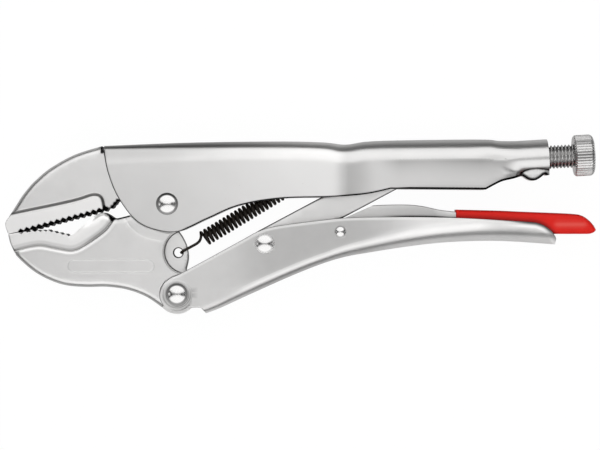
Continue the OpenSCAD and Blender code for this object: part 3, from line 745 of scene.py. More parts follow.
def lower_handle_height(p):
    x, y = p.T
    d, _, near = nearest(p, spline(LOW_BACK))
    r = np.interp(near[:, 0], LOW_BEND_X, LOW_BEND)
    reach = r + 3.2
    facet = LOWER_FACET * np.maximum(reach - d, 0) * fall(d, reach, 3) * rise(x, 16, 10)
    z = HALF_BODY - bend(d, r) - facet
    ring = np.hypot(x, y)
    rounding = np.where(ring < 8, 0.12 + 0.3 * rise(y, -1, 4), 0.35)
    z -= bend(from_line(p, LOW_OUTLINE, closed=True), rounding)
    z -= 0.08 * peak(ring - EAR_GROOVE_R, 0.22) + 0.1 * fall(ring, EAR_GROOVE_R, 0.3)
    # The ear has a pressed ring round the rivet, with thin lines of painted shade and a painted dark edge at
    # its lower right.
    dark = 0.45 * peak(ring - EAR_GROOVE_R, 0.28) * fall(y, 4, 6)
    dark += 0.3 * peak(ring - 4.85, 0.3)
    # Painted shade over the handle's front half, and a painted highlight on the ear's outer ring at its left.
    front = 0.22 * rise(x, 16, 25) * (1 - rise(x, 74, 24))
    dark += front - 0.3 * rise(ring, 6.3, 0.4) * (1 - rise(ring, 7, 2)) * (1 - ease(x / 4))
    dark += 0.05 * peak(ring - 5.5, 0.6)
    low_right = rise(x - y, 2, 3) * (1 - rise(ring, 6.9, 0.6))
    ear_edge = 0.8 * peak(ring - EAR_R + 0.3, 0.25) * (y < -4.5)
    dark += (0.55 * peak(ring - 5.1, 0.13) + 0.35 * peak(ring - 6.4, 0.13) + ear_edge) * low_right
    # Painted highlight on the side in the middle of the handle, along its bend and, at the rear, near its
    # back.
    dark -= 0.85 * rise(x, 89, 17) * (1 - rise(x, 124, 12)) * rise(d, 0.5 * r, 1.5)
    dark -= 0.95 * rise(x, 22, 12) * (1 - rise(x, 112, 26)) * peak(d - 0.84 * r, 0.2 * r)
    dark -= (0.14 + 0.16 * rise(x, 85, 20)) * rise(x, 60, 20) * peak(d - 2.4, 1.0)
    dark -= 0.5 * rise(x, 143, 8) * peak(d - 3.2, 1.7)
    # The upper edge has a painted dark line with a painted highlight beside it, and both widen towards the
    # tail.
    edge = from_line(p, spline(LOW_EDGE))
    tail = rise(x, 134, 14)
    dark += (1 - tail) * (0.35 * fall(edge, 0.35, 0.25) - 0.9 * peak(edge - 0.8, 0.36))
    dark += tail * (0.85 * fall(edge, 1.6, 1.4) - 1.2 * peak(edge - 1.95, 0.45))
    return z, np.clip(dark, -1, 1)


def make_lower_handle():
    back = spline(LOW_BACK)
    low_bend = bend_rows(LOW_BEND_X, LOW_BEND, round_steps([12, 20, 28, 36, 44, 52, 60, 68, 78, 90]))
    facet_rows = [lambda line, k=k: np.interp(line[:, 0], LOW_BEND_X, LOW_BEND) + k
                  for k in (0.8, 1.6, 2.4, 3.2)]
    rings = (-0.7, -0.55, -0.4, -0.2, 0, 0.2, 0.35, 0.5, 0.65, 0.8, 0.95, 1.3, 1.7)
    rows = [(back, low_bend + facet_rows),
            (spline(LOW_EDGE), (-1.3, -1.7, -2.1, -2.5, -3.0)),
            (arc([0, 0], EAR_GROOVE_R, 0, 360, 60), rings)]
    piece = relief("lower_handle_shell", counterclockwise(LOW_OUTLINE), lower_handle_height, WORN_SHEET, rows,
                   (0.04, 0.12, 0.35, 0.6, 0.95), grid=2.5)
    floor = moved(back, SHEET)
    round_it = [[170, floor[-1, 1]], [170, 60], [-30, 60], [-30, -30], [9, -30], [9.3, -6.6]]
    hollow = np.vstack([floor, round_it])

    def hollow_height(p):
        return HALF_BODY - SHEET - bend(from_line(p, floor), 2.2), np.zeros(len(p))
    space = relief("space", hollow, hollow_height, SATIN_SHEET, [(floor, (0.1, 0.3, 0.7, 1.3, 2.2))], (),
                   grid=4.0, step=2.0)
    cut(piece, space, hole((0, 0), RIVET_R), hole(LINK_PIVOT - HANDLE_PIVOT, LINK_RIVET_R),
        hole(LEVER_PIVOT - HANDLE_PIVOT, LEVER_RIVET_R))
    piece.data.transform(Matrix.Translation((*(HANDLE_PIVOT * MM), 0)))
    return piece


# ---------------------------------------------------------------- fixed jaw
def fixed_jaw_outline():
    saw = teeth(TOOTH_START, TOOTH_END, TOOTH_PITCH, TOOTH_DEPTH)
    throat = teeth(THROAT_START, THROAT_END, THROAT_PITCH, THROAT_DEPTH)
    return np.vstack([spline(JAW_NOSE)[:-1], spline(JAW_TOP), JAW_ROOT, throat[::-1], [TOOTH_END], saw[::-1]])


def painted_shadow_teeth(name, start, end, pitch, tip, half, clear_of):
    """The second, deeper saw of the jaw, its teeth behind the gaps of the first and painted black as the
    shadow in those gaps.
    Each tooth is as long as tip, or as long as leaves it clear of the other jaw."""
    start, end = np.asarray(start, float), np.asarray(end, float)
    n = max(1, round(np.hypot(*(end - start)) / pitch))
    along = (end - start) / n
    left = np.array([-along[1], along[0]]) / np.hypot(*along)
    line = []
    for i in range(n):
        middle, reach = start + along * (i + 0.5), tip
        while reach > 0.05 and (inside((middle - left * (reach + 0.2))[None], clear_of)[0]
                                or from_line((middle - left * reach)[None], clear_of, closed=True)[0] < 0.15):
            reach -= 0.05
        line += [start + along * i - left * min(0.2, reach), middle - left * reach]
    behind = [end + left * 2.6 - along * 0.3, start + left * 2.6 + along * 0.3]
    strip = slab(name, np.vstack([line, [end - left * 0.05], behind]), -half, half, FORGED_JAW)
    # Painted shadow: the whole strip at full shade.
    strip.data.attributes["shade"].data.foreach_set("value", [1.0] * len(strip.data.vertices))
    return strip


def make_fixed_jaw():
    outline = fixed_jaw_outline()
    closed = counterclockwise(outline)
    top, nose = spline(JAW_TOP), spline(JAW_NOSE)
    step = np.vstack([[[-70, -5.0]], spline(STEP_LINE), [[-26.3, -6]]])
    band_area = np.vstack([step, [[-26, -14], [-72, -14]]])

    def height(p):
        d, side, _ = nearest(p, step)
        above = side * d
        z = HALF_BAND + (HALF_CHEEK - HALF_BAND) * rise(above, -0.75, 1.5)
        z -= bend(from_line(p, top), 0.5 + 2.1 * rise(above, -0.75, 1.5))
        z -= bend(from_line(p, nose), 0.3)
        z -= bend(from_line(p, closed, closed=True), 0.25)
        # Painted shade follows the step, with a painted highlight on the band under it.
        bright = -0.8 * rise(-above, 0.7, 0.5) - 0.2 * peak(above + 1.25, 0.4)
        return z, 0.52 * peak(above + 0.1, 0.55) + bright * inside(p, band_area)

    def painted_wall_shade(p):
        """Painted shade: 1 on the walls between the teeth and on the tang's corner in the handle."""
        x, y = p.T
        in_bite = (y < 2.5) & (x > -65) & (y > -12.3) & (from_line(p, top) > 0.5)
        return np.where(in_bite | ((x > -29) & (y > 20)), 1.0, 0.0)

    # Painted shade along the edge back from the nose, and more on the walls between the teeth.
    def rim(p):
        return 0.3 * rise(p[:, 0], -66.5, 1.5) + 0.6 * painted_wall_shade(p)
    rows = [(step, (-1.6, -1.0, -0.75, -0.5, -0.25, 0, 0.25, 0.5, 0.75, 1.0)),
            (top, -2.6 * round_steps([12, 22, 32, 42, 52, 62, 74, 90])),
            (nose, (-0.05, -0.15, -0.3, -0.5, -1.0))]
    # The edge, the walls between the teeth, and where the face turns away, carry painted shade.
    piece = relief("fixed_jaw_forging", outline, height, FORGED_JAW, rows, FORGED_EDGE, grid=2.0, step=0.7,
                   rim=rim, wall=painted_wall_shade, turn=0.25)
    below, half = counterclockwise(moving_jaw_outline()), HALF_BAND - 0.9
    added(piece, painted_shadow_teeth("painted_shadow_teeth", TOOTH_START, TOOTH_END, TOOTH_PITCH, TOOTH_DROP, half, below),
          painted_shadow_teeth("painted_shadow_throat_teeth", THROAT_START, THROAT_END, THROAT_PITCH, THROAT_DROP, half, below))
    wall = np.vstack([[[-26.62, 60], [-26.62, 21]], moved(spline(UPPER_EDGE), -0.02)[1:], [[100, 60]]])
    cut(piece, slabs("wall_space", wall, 5.75), hole((0, 0), PIVOT_BOSS_R + GAP))

    # Painted shadow in the gaps between the teeth, set again after the cuts.
    def painted_shadow_between_teeth(p):
        x, y, z = p.T
        in_band = (np.abs(z) < HALF_BAND - 0.5) & (x < -19) & (y < 3)
        return np.where(in_band & (y < painted_shadow_below(x)), 1.0, np.nan)
    repaint_shade(piece, painted_shadow_between_teeth)
    return piece


def painted_shadow_below(x):
    """The height under which the gaps between the upper jaw's teeth get painted shadow."""
    corners = [TOOTH_START[0], TOOTH_END[0], THROAT_START[0], THROAT_END[0]]
    return np.interp(x, corners, [-10.4, -0.3, -1.1, 3.0])


def repaint_shade(piece, tone):
    """Sets the painted shade of the places for which tone gives a number, after cuts have made new ones."""
    mesh = piece.data
    at = np.empty(len(mesh.vertices) * 3, np.float32)
    mesh.vertices.foreach_get("co", at)
    old = np.empty(len(mesh.vertices), np.float32)
    layer = mesh.attributes["shade"].data
    layer.foreach_get("value", old)
    new = tone(at.reshape(-1, 3) / MM - JAW_PIVOT)
    layer.foreach_set("value", np.where(np.isnan(new), old, new).astype(np.float32))


# ---------------------------------------------------------------- moving jaw
def moving_jaw_outline():
    saw = [teeth(LOW_TEETH[i], LOW_TEETH[i + 1], LOW_PITCH, LOW_DEPTH) for i in (0, 1)]
    return np.vstack([spline(JAW_BOTTOM), [HANDLE_PIVOT], spline(TANG_RIGHT), [[0, 0]],
                      spline(BITE)[::-1][:-1], *saw, [LOW_TEETH[2]], PARTING])


def painted_shadow_under_teeth(p):
    """Where the tips of the upper jaw's first teeth lie on the lower jaw, from 0 to 1: the mask of a painted
    shadow.
    """
    start, along = np.array(TOOTH_START), np.subtract(TOOTH_END, TOOTH_START)
    count = round(np.hypot(*along) / TOOTH_PITCH)
    unit = along / np.hypot(*along)
    place_along = (p - start) @ unit * count / np.hypot(*along)
    below = (p - start) @ np.array([unit[1], -unit[0]])
    tip = 0.2 + TOOTH_DROP * (1 - np.abs(2 * (place_along % 1) - 1))
    return ease((tip - below) / 0.24 + 0.5) * (place_along > 0) * (place_along < 3)


def turned(points, degrees):
    """The points turned counterclockwise about the origin."""
    a = math.radians(degrees)
    return np.asarray(points) @ np.array([[math.cos(a), math.sin(a)], [-math.sin(a), math.cos(a)]])


def stadium(low, high):
    """Closed outline of a bar with round ends."""
    (x0, y0), (x1, y1) = low, high
    r = (y1 - y0) / 2
    return np.vstack([arc([x1 - r, y0 + r], r, -90, 90, 12), arc([x0 + r, y0 + r], r, 90, 270, 12)])


LENS_EDGE = arc(LENS, LENS_R, 0, 360, 96)[:-1]
LENS_RING = np.vstack([LENS_EDGE, LENS_EDGE[:1]])


def make_lens_floor():
    """Thin round web of the tang, sunk in both cheeks, which the spring hooks into."""
    right = spline(TANG_RIGHT)
    right = right[from_place(right, LENS) < LENS_R + 0.3]
    low, high = (math.degrees(math.atan2(*(end - LENS)[::-1])) % 360 for end in (right[0], right[-1]))
    outline = counterclockwise(np.vstack([right, arc(LENS, LENS_R + 0.4, high, low, 60)]))

    def height(p):
        x, y = p.T
        to_hole = from_place(p, SPRING_HOLE)
        edge = from_line(p, right)
        left = fall(x, LENS[0] - 1, 3)
        # A painted highlight over the web, with painted shade round its rim, stronger on the left, along the
        # tang's right edge and round the spring's hole.
        dark = -0.22 + (0.75 + 0.55 * left) * rise(from_place(p, LENS) - LENS_R, -0.75, 0.55)
        dark += 1.0 * np.exp(-(edge / np.where(y < -21, 0.75, 0.5)) ** 4)
        dark += 1.5 * peak(to_hole - HOOK_HOLE_R, 0.34) + 0.12 * peak(to_hole - 3.1, 0.25)
        return TANG - bend(edge, 0.3), np.clip(dark, -1, 0.97)
    rows = [(LENS_RING, (-0.02, 0.1, 0.25, 0.4, 0.6, 0.8)),
            (right, (0.1, 0.3, 0.5, 0.7)),
            (right, (-0.1, -0.3, -0.5, -0.7)),
            (arc(SPRING_HOLE, HOOK_HOLE_R, 0, 360, 40), (-1.5, -1.2, -0.9, -0.5, -0.3, -0.15, 0.0))]
    return relief("lens_floor", outline, height, FORGED_JAW, rows, (), grid=1.5, step=0.6)


def make_moving_jaw():
    outline = moving_jaw_outline()
    closed = counterclockwise(outline)
    step = np.vstack([[[-70, -20.6]], spline(CHEEK_STEP), [[-22.2, -2]]])
    bottom, relief_arc, bite = spline(JAW_BOTTOM), spline(RELIEF_ARC), spline(BITE)
    panel = stadium([-41.7, -28.8], [-5.5, -23.5])

    def height(p):
        x, y = p.T
        d, side, _ = nearest(p, step)
        above = side * d
        to_bite, to_panel = from_line(p, bite), from_line(p, panel, closed=True)
        z = HALF_BAND + (HALF_CHEEK - HALF_BAND) * fall(above, 0.25, 0.7) - 0.1 * rise(above, -1.5, 0.9)
        z -= bend(from_line(p, bottom), 0.7 + 1.7 * rise(x, -66.5, 4))
        soft = (x > -41) & (x < -31) & (to_bite < 1)
        z -= bend(from_line(p, closed, closed=True), np.where(soft, 0.08, 0.25))
        z -= 0.06 * peak(from_line(p, relief_arc), 0.35)
        z -= 0.06 * peak(to_panel, 0.16)
        z -= 0.9 * peak(to_bite, 1.2) * rise(x, -36, 6) * rise(above, 0.5, 1)
        # Painted shade follows the step with a painted highlight under it, and the band above it has a
        # painted highlight.
        dark = 0.36 * peak(above - 0.5, 0.45) - 0.8 * peak(above + 0.95, 0.55)
        dark += 0.1 * peak(above + 2.1, 0.4)
        dark += 0.35 * rise(x, -38, 8) * rise(above, 0.2, 0.5) * np.exp(-np.maximum(above - 0.5, 0) / 1.5)
        dark -= 0.7 * rise(above, 1.8, 0.8) * (d < 9)
        # A painted highlight on the bite in front of the hump.
        dark -= 0.4 * fall(to_bite, 1.5, 1.5) * rise(x, -41, 2) * (1 - rise(x, -33, 4))
        dark -= 0.6 * peak(to_bite, 1.6) * rise(x, -43, 2) * (1 - rise(x, -35, 4))
        # Painted shade round the sunk web and the panel, and painted shadow where the upper jaw's first teeth
        # lie.
        dark += 0.7 * peak(from_line(p, LENS_EDGE, closed=True), 0.35)
        dark += 0.22 * peak(to_panel, 0.17)
        dark += 1.2 * painted_shadow_under_teeth(p) * (y > -13.6)
        # Painted shade on the edge on the hump and behind it, and behind it a painted highlight beside it.
        reach = 0.45 + 1.2 * peak(x + 23.4, 1.7) + 0.2 * rise(x, -24, 2)
        dark += 1.1 * np.exp(-(to_bite / reach) ** 4) * rise(x, -30.2, 1.5)
        dark -= 0.7 * peak(to_bite - 1.7, 0.6) * rise(x, -23, 1.5)
        return z, np.clip(dark, -1, 1)

    def painted_bite_shade(p):
        """Painted shade on the wall of the bite, on the hump and between the teeth."""
        x, y = p.T
        hump = (y > -14) & (x > -31) & (x < -14)
        notches = (y > -14) & (x > -61) & (x < -41) & (from_line(p, np.array(LOW_TEETH)) > 0.15)
        return np.where(hump, 1.1 * rise(x, -29, 3), 0.0) + np.where(notches, 1.0, 0.0)

    # Painted shade along the edge back from the nose, away from the bite, and more on the bite's wall.
    def rim(p):
        return 0.25 * rise(p[:, 0], -65, 2) * (from_line(p, bite) > 0.5) + 0.5 * painted_bite_shade(p)

    # Painted shade where the face turns away, near the bottom edge only.
    def turn(p):
        return 0.25 * (from_line(p, bottom) < 3)
    tips = teeth(TOOTH_START, TOOTH_END, TOOTH_PITCH, -TOOTH_DROP)[:7] + [0.05, -0.2]
    step_rows = (-2.5, -2.0, -1.5, -1.2, -0.9, -0.6, -0.45, -0.3, -0.15, 0,
                 0.12, 0.25, 0.5, 0.8, 1.2, 1.8, 2.6, 3.6)
    rows = [(step, step_rows),
            (np.vstack([panel, panel[:1]]), (-0.45, -0.2, 0, 0.2, 0.45)),
            (bite, (-0.3, -0.6, -0.9, -1.2, -1.6)),
            (tips, (-0.09, 0.09)),
            (LENS_RING, (-0.6, -0.3, -0.1)),
            (bottom, 2.4 * round_steps([12, 22, 32, 42, 52, 62, 74, 90])),
            (relief_arc, (-0.5, -0.25, 0, 0.25, 0.5))]
    piece = relief("moving_jaw_forging", outline, height, FORGED_JAW, rows, FORGED_EDGE, grid=2.0, step=0.7,
                   rim=rim, wall=painted_bite_shade, turn=turn)

    # Room for the handle's walls through the jaw's whole swing, and for the ears and the lower handle.
    wall = np.vstack([[[-26.8, 60], [-26.8, 21]], moved(spline(UPPER_EDGE), -GAP)[1:], [[100, 60]]])
    for angle in range(0, JAW_SWING + 1, 2):
        cut(piece, slabs("wall_space", turned(wall, -angle), HALF_TANG))
    low_edge = moved(spline(LOW_EDGE), GAP)
    low = np.vstack([low_edge, [[158, -60], [12.4, -60], WEB_CORNERS[1], [0, 0]]]) + HANDLE_PIVOT
    cut(piece, slabs("ear_space", arc(HANDLE_PIVOT, EAR_R + GAP / 2, 0, 360, 72)[:-1], HALF_TANG))
    cut(piece, slabs("handle_space", low, HALF_TANG))
    for at, r in (((0, 0), PIVOT_BOSS_R), (HANDLE_PIVOT, TAIL_BOSS_R)):
        added(piece, rod("boss", [*at, -HALF_TANG], [*at, HALF_TANG], r, 96, FORGED_JAW))
    cut(piece, slab("lens", LENS_EDGE, -OUTSIDE, OUTSIDE))
    added(piece, make_lens_floor())
    cut(piece, hole((0, 0), RIVET_R + HOLE_PLAY), hole(HANDLE_PIVOT, RIVET_R + HOLE_PLAY),
        hole(SPRING_HOLE, HOOK_HOLE_R))

    # Painted shade round the spring's hole on the web, set again after the cuts.
    def painted_hole_shadow(p):
        flat = p[:, :2]
        on_web = (np.abs(p[:, 2]) < TANG + 0.05) & (from_place(flat, LENS) < LENS_R - 0.2)
        ring = np.abs(from_place(flat, SPRING_HOLE) - HOOK_HOLE_R) < 0.35
        return np.where(on_web & ring, 1.0, np.nan)
    repaint_shade(piece, painted_hole_shadow)
    return piece


# ---------------------------------------------------------------- toggle link
def link_outline(gap=0.0):
    r = LINK_R + gap
    shape = np.vstack([arc([0, 0], r, 90, 270, 32), arc([LINK_LEN, 0], r, -90, 90, 32)])
    return turned(shape, math.degrees(LINK_ANGLE)) + LINK_PIVOT


def make_toggle_link():
    outline = link_outline()
    closed = counterclockwise(outline)

    def height(p):
        return HALF_LINK - bend(from_line(p, closed, closed=True), 0.9), np.zeros(len(p))
    # A line of painted shade runs round the bar's edge.
    piece = relief("toggle_link_bar", outline, height, LINK_STEEL, (), (0.03, 0.1, 0.25, 0.5, 0.9), grid=3.0,
                   rim=1.3, rim_width=0.34)
    ends = [*LINK_PIVOT, -HALF_TANG], [*LINK_PIVOT, HALF_TANG]
    added(piece, rod("boss", *ends, LINK_BOSS_R, 72, LINK_STEEL))
    cut(piece, hole(LINK_PIVOT, LINK_RIVET_R + HOLE_PLAY))
    return piece


# ---------------------------------------------------------------- release lever and its sleeve
def lever_outline(inset=0.0):
    """The blade's outline, which runs on inside the sleeve, moved in by a distance."""
    tail = moved(spline(SLEEVE_TOP), -0.9)
    top = np.vstack([spline(LEVER_TOP), tail[tail[:, 1] > -0.1 + inset]])
    under = [[103.4 - inset, -0.1], [SLEEVE_X, -0.1]]
    return np.vstack([moved(top, -inset), under, LEVER_SKIRT]) + LEVER_PIVOT


def make_release_lever():
    outline = lever_outline()
    closed = counterclockwise(outline)
    back = np.vstack([spline(LEVER_TOP), moved(spline(SLEEVE_TOP), -0.9)]) + LEVER_PIVOT
    handle_edge = spline(LOW_EDGE) + HANDLE_PIVOT

    def height(p):
        x, edge = p[:, 0], from_line(p, handle_edge)
        z = HALF_LEVER - bend(from_line(p, back), 0.6) - bend(from_line(p, closed, closed=True), 0.2)
        # Painted shadow along the handle's edge, a little painted shade towards the tail, and painted
        # highlights towards the front and at the far end.
        tone = 1.1 * peak(edge, 0.55) * rise(x, 88, 14) + 0.08 * rise(x, 90, 15)
        return z, tone - 0.35 * (1 - rise(x, 78, 14)) - 0.5 * rise(x, 112, 8)
    rows = [(back, (-0.05, -0.15, -0.3, -0.6)), (handle_edge, (0, 0.25, 0.5, 0.8, 1.2))]
    piece = relief("release_lever_blade", outline, height, BLADE_STEEL, rows, (0.03, 0.09, 0.25), grid=2.0)
    inner, half = lever_outline(LEVER_SHEET) - [0, 0.02], HALF_LEVER - LEVER_SHEET
    cut(piece, slab("space", inner, -half, half))
    # Room for the link with the lever at rest, and with the lever lifted.
    cut(piece, slab("link_space", link_outline(GAP), -THROUGH, THROUGH))
    lifted = turned(link_outline(GAP / 2) - LEVER_PIVOT, -LEVER_SWING) + LEVER_PIVOT
    cut(piece, slab("link_space", lifted, -THROUGH, THROUGH), hole(LEVER_PIVOT, LEVER_RIVET_R + HOLE_PLAY))
    return piece


def make_sleeve():
    top = spline(SLEEVE_TOP) + LEVER_PIVOT
    outline = np.vstack([top, np.array(SLEEVE_END) + LEVER_PIVOT])
    closed = counterclockwise(outline)
    handle_edge = spline(LOW_EDGE) + HANDLE_PIVOT

    def height(p):
        x, y = (p - LEVER_PIVOT).T
        r = np.where(x < SLEEVE_X + 1.2, 0.5, 1.9)
        # Painted shadow along the handle's edge, painted shade along the top, and a painted highlight along
        # the middle near the end.
        tone = 0.55 * peak(from_line(p, handle_edge), 1.2) * (1 - rise(x, 94, 4))
        tone += 0.45 * peak(from_line(p, top), 0.45) * rise(x, SLEEVE_X, 3)
        tone -= 1.1 * peak(y - 3.0, 1.0) * rise(x, 89, 3) * (1 - rise(x, 102, 3))
        return HALF_SLEEVE - bend(from_line(p, closed, closed=True), r), tone
    rows = [([[SLEEVE_X + 74, -8.4], [180, -8.4]], (-1.2, -0.8, -0.4, 0, 0.4, 0.8)),
            (top, (-0.2, -0.45, -0.8)),
            (handle_edge, (0.1, 0.5, 0.9, 1.3, 1.8))]
    piece = relief("lever_sleeve_dip", outline, height, RED_DIP, rows, (0.04, 0.12, 0.3, 0.6, 1.0, 1.4, 1.9),
                   grid=2.0)
    cut(piece, slab("space", lever_outline(), -HALF_LEVER, HALF_LEVER))
    return piece


# ---------------------------------------------------------------- pieces made by geometry nodes
def rule_tree(name, inputs):
    """A geometry tree with named number inputs. Gives (tree, {name: Value})."""
    tree = bpy.data.node_groups.new(name, "GeometryNodeTree")
    tree.interface.new_socket("Geometry", in_out="INPUT", socket_type="NodeSocketGeometry")
    for key, value in inputs.items():
        kind = "NodeSocketInt" if isinstance(value, int) else "NodeSocketFloat"
        tree.interface.new_socket(key, in_out="INPUT", socket_type=kind).default_value = value
    tree.interface.new_socket("Geometry", in_out="OUTPUT", socket_type="NodeSocketGeometry")
    start = tree.nodes.new("NodeGroupInput")
    values = {socket.name: Value(tree, socket) for socket in start.outputs if socket.name}
    return tree, values


def finish_tree(tree, shape, finish):
    """Ends a tree: the shape made real, with its finish on it."""
    shape = node(tree, "GeometryNodeRealizeInstances", {}, {"Geometry": shape})
    shape = node(tree, "GeometryNodeSetMaterial", {}, {"Geometry": shape, "Material": finish})
    node(tree, "NodeGroupOutput", {}, {"Geometry": shape})


def turned_shape(tree, columns, rows, profile):
    """A closed turned shape: profile(turn, row) gives radius, height and painted shade, with both from 0 to
    1.
    """
    grid = node(tree, "GeometryNodeMeshGrid", {},
                {"Size X": 1.0, "Size Y": 1.0, "Vertices X": columns, "Vertices Y": rows})
    spot = node(tree, "GeometryNodeInputPosition")
    split = tree.nodes.new("ShaderNodeSeparateXYZ")
    tree.links.new(spot.socket, split.inputs[0])
    turn, row = Value(tree, split.outputs[0]) + 0.5, Value(tree, split.outputs[1]) + 0.5
    radius, height, dark = profile(turn, row)
    angle = turn * (2 * math.pi)
    x, y = radius * angle.math("COSINE"), radius * angle.math("SINE")
    where = node(tree, "ShaderNodeCombineXYZ", {}, {0: x, 1: y, 2: height})
    grid = node(tree, "GeometryNodeStoreNamedAttribute", {"data_type": "FLOAT", "domain": "POINT"},
                {"Geometry": grid, "Name": "shade", "Value": dark})
    shape = node(tree, "GeometryNodeSetPosition", {}, {"Geometry": grid, "Position": where})
    return node(tree, "GeometryNodeMergeByDistance", {}, {"Geometry": shape, "Distance": 1e-6})


def made_by(tree, name, inputs, matrix, finish, smooth=40, start=None):
    """Runs a tree on a mesh, sets its inputs, and gives back a plain mesh in its place in the frame."""
    piece = bpy.data.objects.new(name, start or bpy.data.meshes.new(name))
    bpy.context.scene.collection.objects.link(piece)
    rule = piece.modifiers.new("rule", "NODES")
    rule.node_group = tree
    sockets = {item.name: item.identifier for item in tree.interface.items_tree if item.in_out == "INPUT"}
    for key, value in inputs.items():
        rule[sockets[key]] = value
    baked(piece)
    mesh = piece.data
    mesh.transform(matrix)
    volume = 0.0
    mesh.calc_loop_triangles()
    for triangle in mesh.loop_triangles:
        a, b, c = (mesh.vertices[i].co for i in triangle.vertices)
        volume += a.dot(b.cross(c))
    if volume < 0:
        mesh.flip_normals()
    if not mesh.materials:
        mesh.materials.append(finish)
    soften(piece, smooth)
    return piece


def on_screw(s):
    """Matrix that stands a turned shape on the screw's axis, its own z along the screw."""
    at = (np.append(TUBE_MOUTH + s * SCREW_DIR, 0) + JAW_PIVOT) * MM
    along = Vector((*SCREW_DIR, 0))
    up = Vector((0, 0, 1))
    side = up.cross(along)
    turn = Matrix((up, side, along)).transposed()
    return Matrix.Translation(at) @ turn.to_4x4()


def rivet_tree():
    """A rivet with two heads, each a dome in a low ring with painted shade and two painted dark spots of
    reflection. Rows run from pole to pole.
    """
    tree, v = rule_tree("domed rivet", {"Shank Radius": 0.0035, "Head Radius": 0.00465, "Dome Part": 0.84,
                                        "Dome Height": 0.00085, "Ring Height": 0.0003, "Half Span": 0.0084,
                                        "Shank Part": 0.12, "Painted Ring Shade": 0.9})

    def profile(turn, row):
        side = (row - 0.5).math("SIGN")
        part = (row * 2 - 1).math("ABSOLUTE")
        head = (part - v["Shank Part"]) / (1 - v["Shank Part"])
        on_head = part.math("GREATER_THAN", v["Shank Part"])
        edge = (head / 0.12).clamp()
        ring = ((head - 0.12) / 0.16).clamp()
        dome = ((head - 0.28) / 0.72).clamp()
        radius = v["Head Radius"] * (1 - (1 - v["Dome Part"]) * ring - v["Dome Part"] * dome)
        lift = v["Ring Height"] * edge - 0.00005 * ring + v["Dome Height"] * (1 - (1 - dome) ** 2)
        radius = on_head * radius + (1 - on_head) * v["Shank Radius"]
        lift = v["Half Span"] * (part / v["Shank Part"]).clamp() + on_head * lift
        # Painted shade on the low ring, less dark on one side, and two painted dark spots of reflection on
        # the dome.
        dark = (1 - (head - 0.21).math("ABSOLUTE") / 0.16).clamp() * 2.2
        across = (turn * (2 * math.pi)).math("COSINE")
        shadowed = 1 - 0.35 * (0.5 - 0.5 * (turn * (2 * math.pi)).math("SINE"))
        on_circle = (1 - ((1 - dome) * v["Dome Part"] - 0.46) ** 2 * 45).clamp()
        spot = on_circle * ((across ** 2 - 0.9) * 12).clamp()
        return radius, side * lift, dark.clamp() * v["Painted Ring Shade"] * shadowed + spot * on_head * 0.9
    finish_tree(tree, turned_shape(tree, 73, 91, profile), POLISHED_HEAD)
    return tree


def make_rivet(name, tree, at, shank_r, head_r, dome, painted_ring_shade):
    """A rivet across the tool, its radii and the height of its dome in millimetres."""
    inputs = {"Shank Radius": shank_r * MM, "Head Radius": head_r * MM, "Dome Height": dome * MM,
              "Half Span": HALF_BODY * MM, "Painted Ring Shade": painted_ring_shade}
    in_frame = Matrix.Translation((np.append(at, 0) + JAW_PIVOT) * MM)
    return made_by(tree, name, inputs, in_frame, POLISHED_HEAD)


def make_screw():
    inputs = {"Root": (THREAD_R - THREAD_DEPTH) * MM, "Depth": THREAD_DEPTH * MM, "Pitch": THREAD_PITCH * MM,
              "Length": (KNOB_S - TIP_S) * MM, "Point": 1.8 * MM, "Point Radius": 2.6 * MM}
    tree, v = rule_tree("threaded screw", inputs)

    def profile(turn, row):
        along = row * v["Length"]
        phase = (along / v["Pitch"] - turn).math("FRACT")
        crest = ((1 - (phase * 2 - 1).math("ABSOLUTE")) * 1.25 - 0.1).clamp()
        crest = crest * (along / v["Pitch"] - 1.2).clamp()
        radius = v["Root"] + v["Depth"] * crest
        point = v["Point Radius"] + along * ((v["Root"] - v["Point Radius"]) / v["Point"])
        radius = radius.math("MINIMUM", point)
        inner = row.math("GREATER_THAN", 0.0005) * row.math("LESS_THAN", 0.9995)
        # Painted shade in the roots of the thread and along the screw's two sides in the plane of the tool.
        flank = (turn * (2 * math.pi)).math("SINE").math("ABSOLUTE")
        return radius * inner, along, (1 - crest * 1.5).clamp() * 0.5 + ((flank - 0.62) * 4).clamp() * 0.6
    finish_tree(tree, turned_shape(tree, 49, 400, profile), ZINC_THREAD)
    screw = made_by(tree, "adjusting_screw_thread", {}, on_screw(TIP_S), ZINC_THREAD, smooth=60)
    return added(screw, bar_on_screw("spigot", KNOB_S - 0.5, KNOB_S + SPIGOT_LEN, SPIGOT_R, 48, ZINC_THREAD))


def band(place_across, middle, narrow):
    """1 in the middle of a band and 0 past its edges."""
    return (1 - ((place_across - middle) * narrow) ** 2).clamp()


# The part of the knob's rows, at each end, that closes its face.
FACE_PART = 0.115


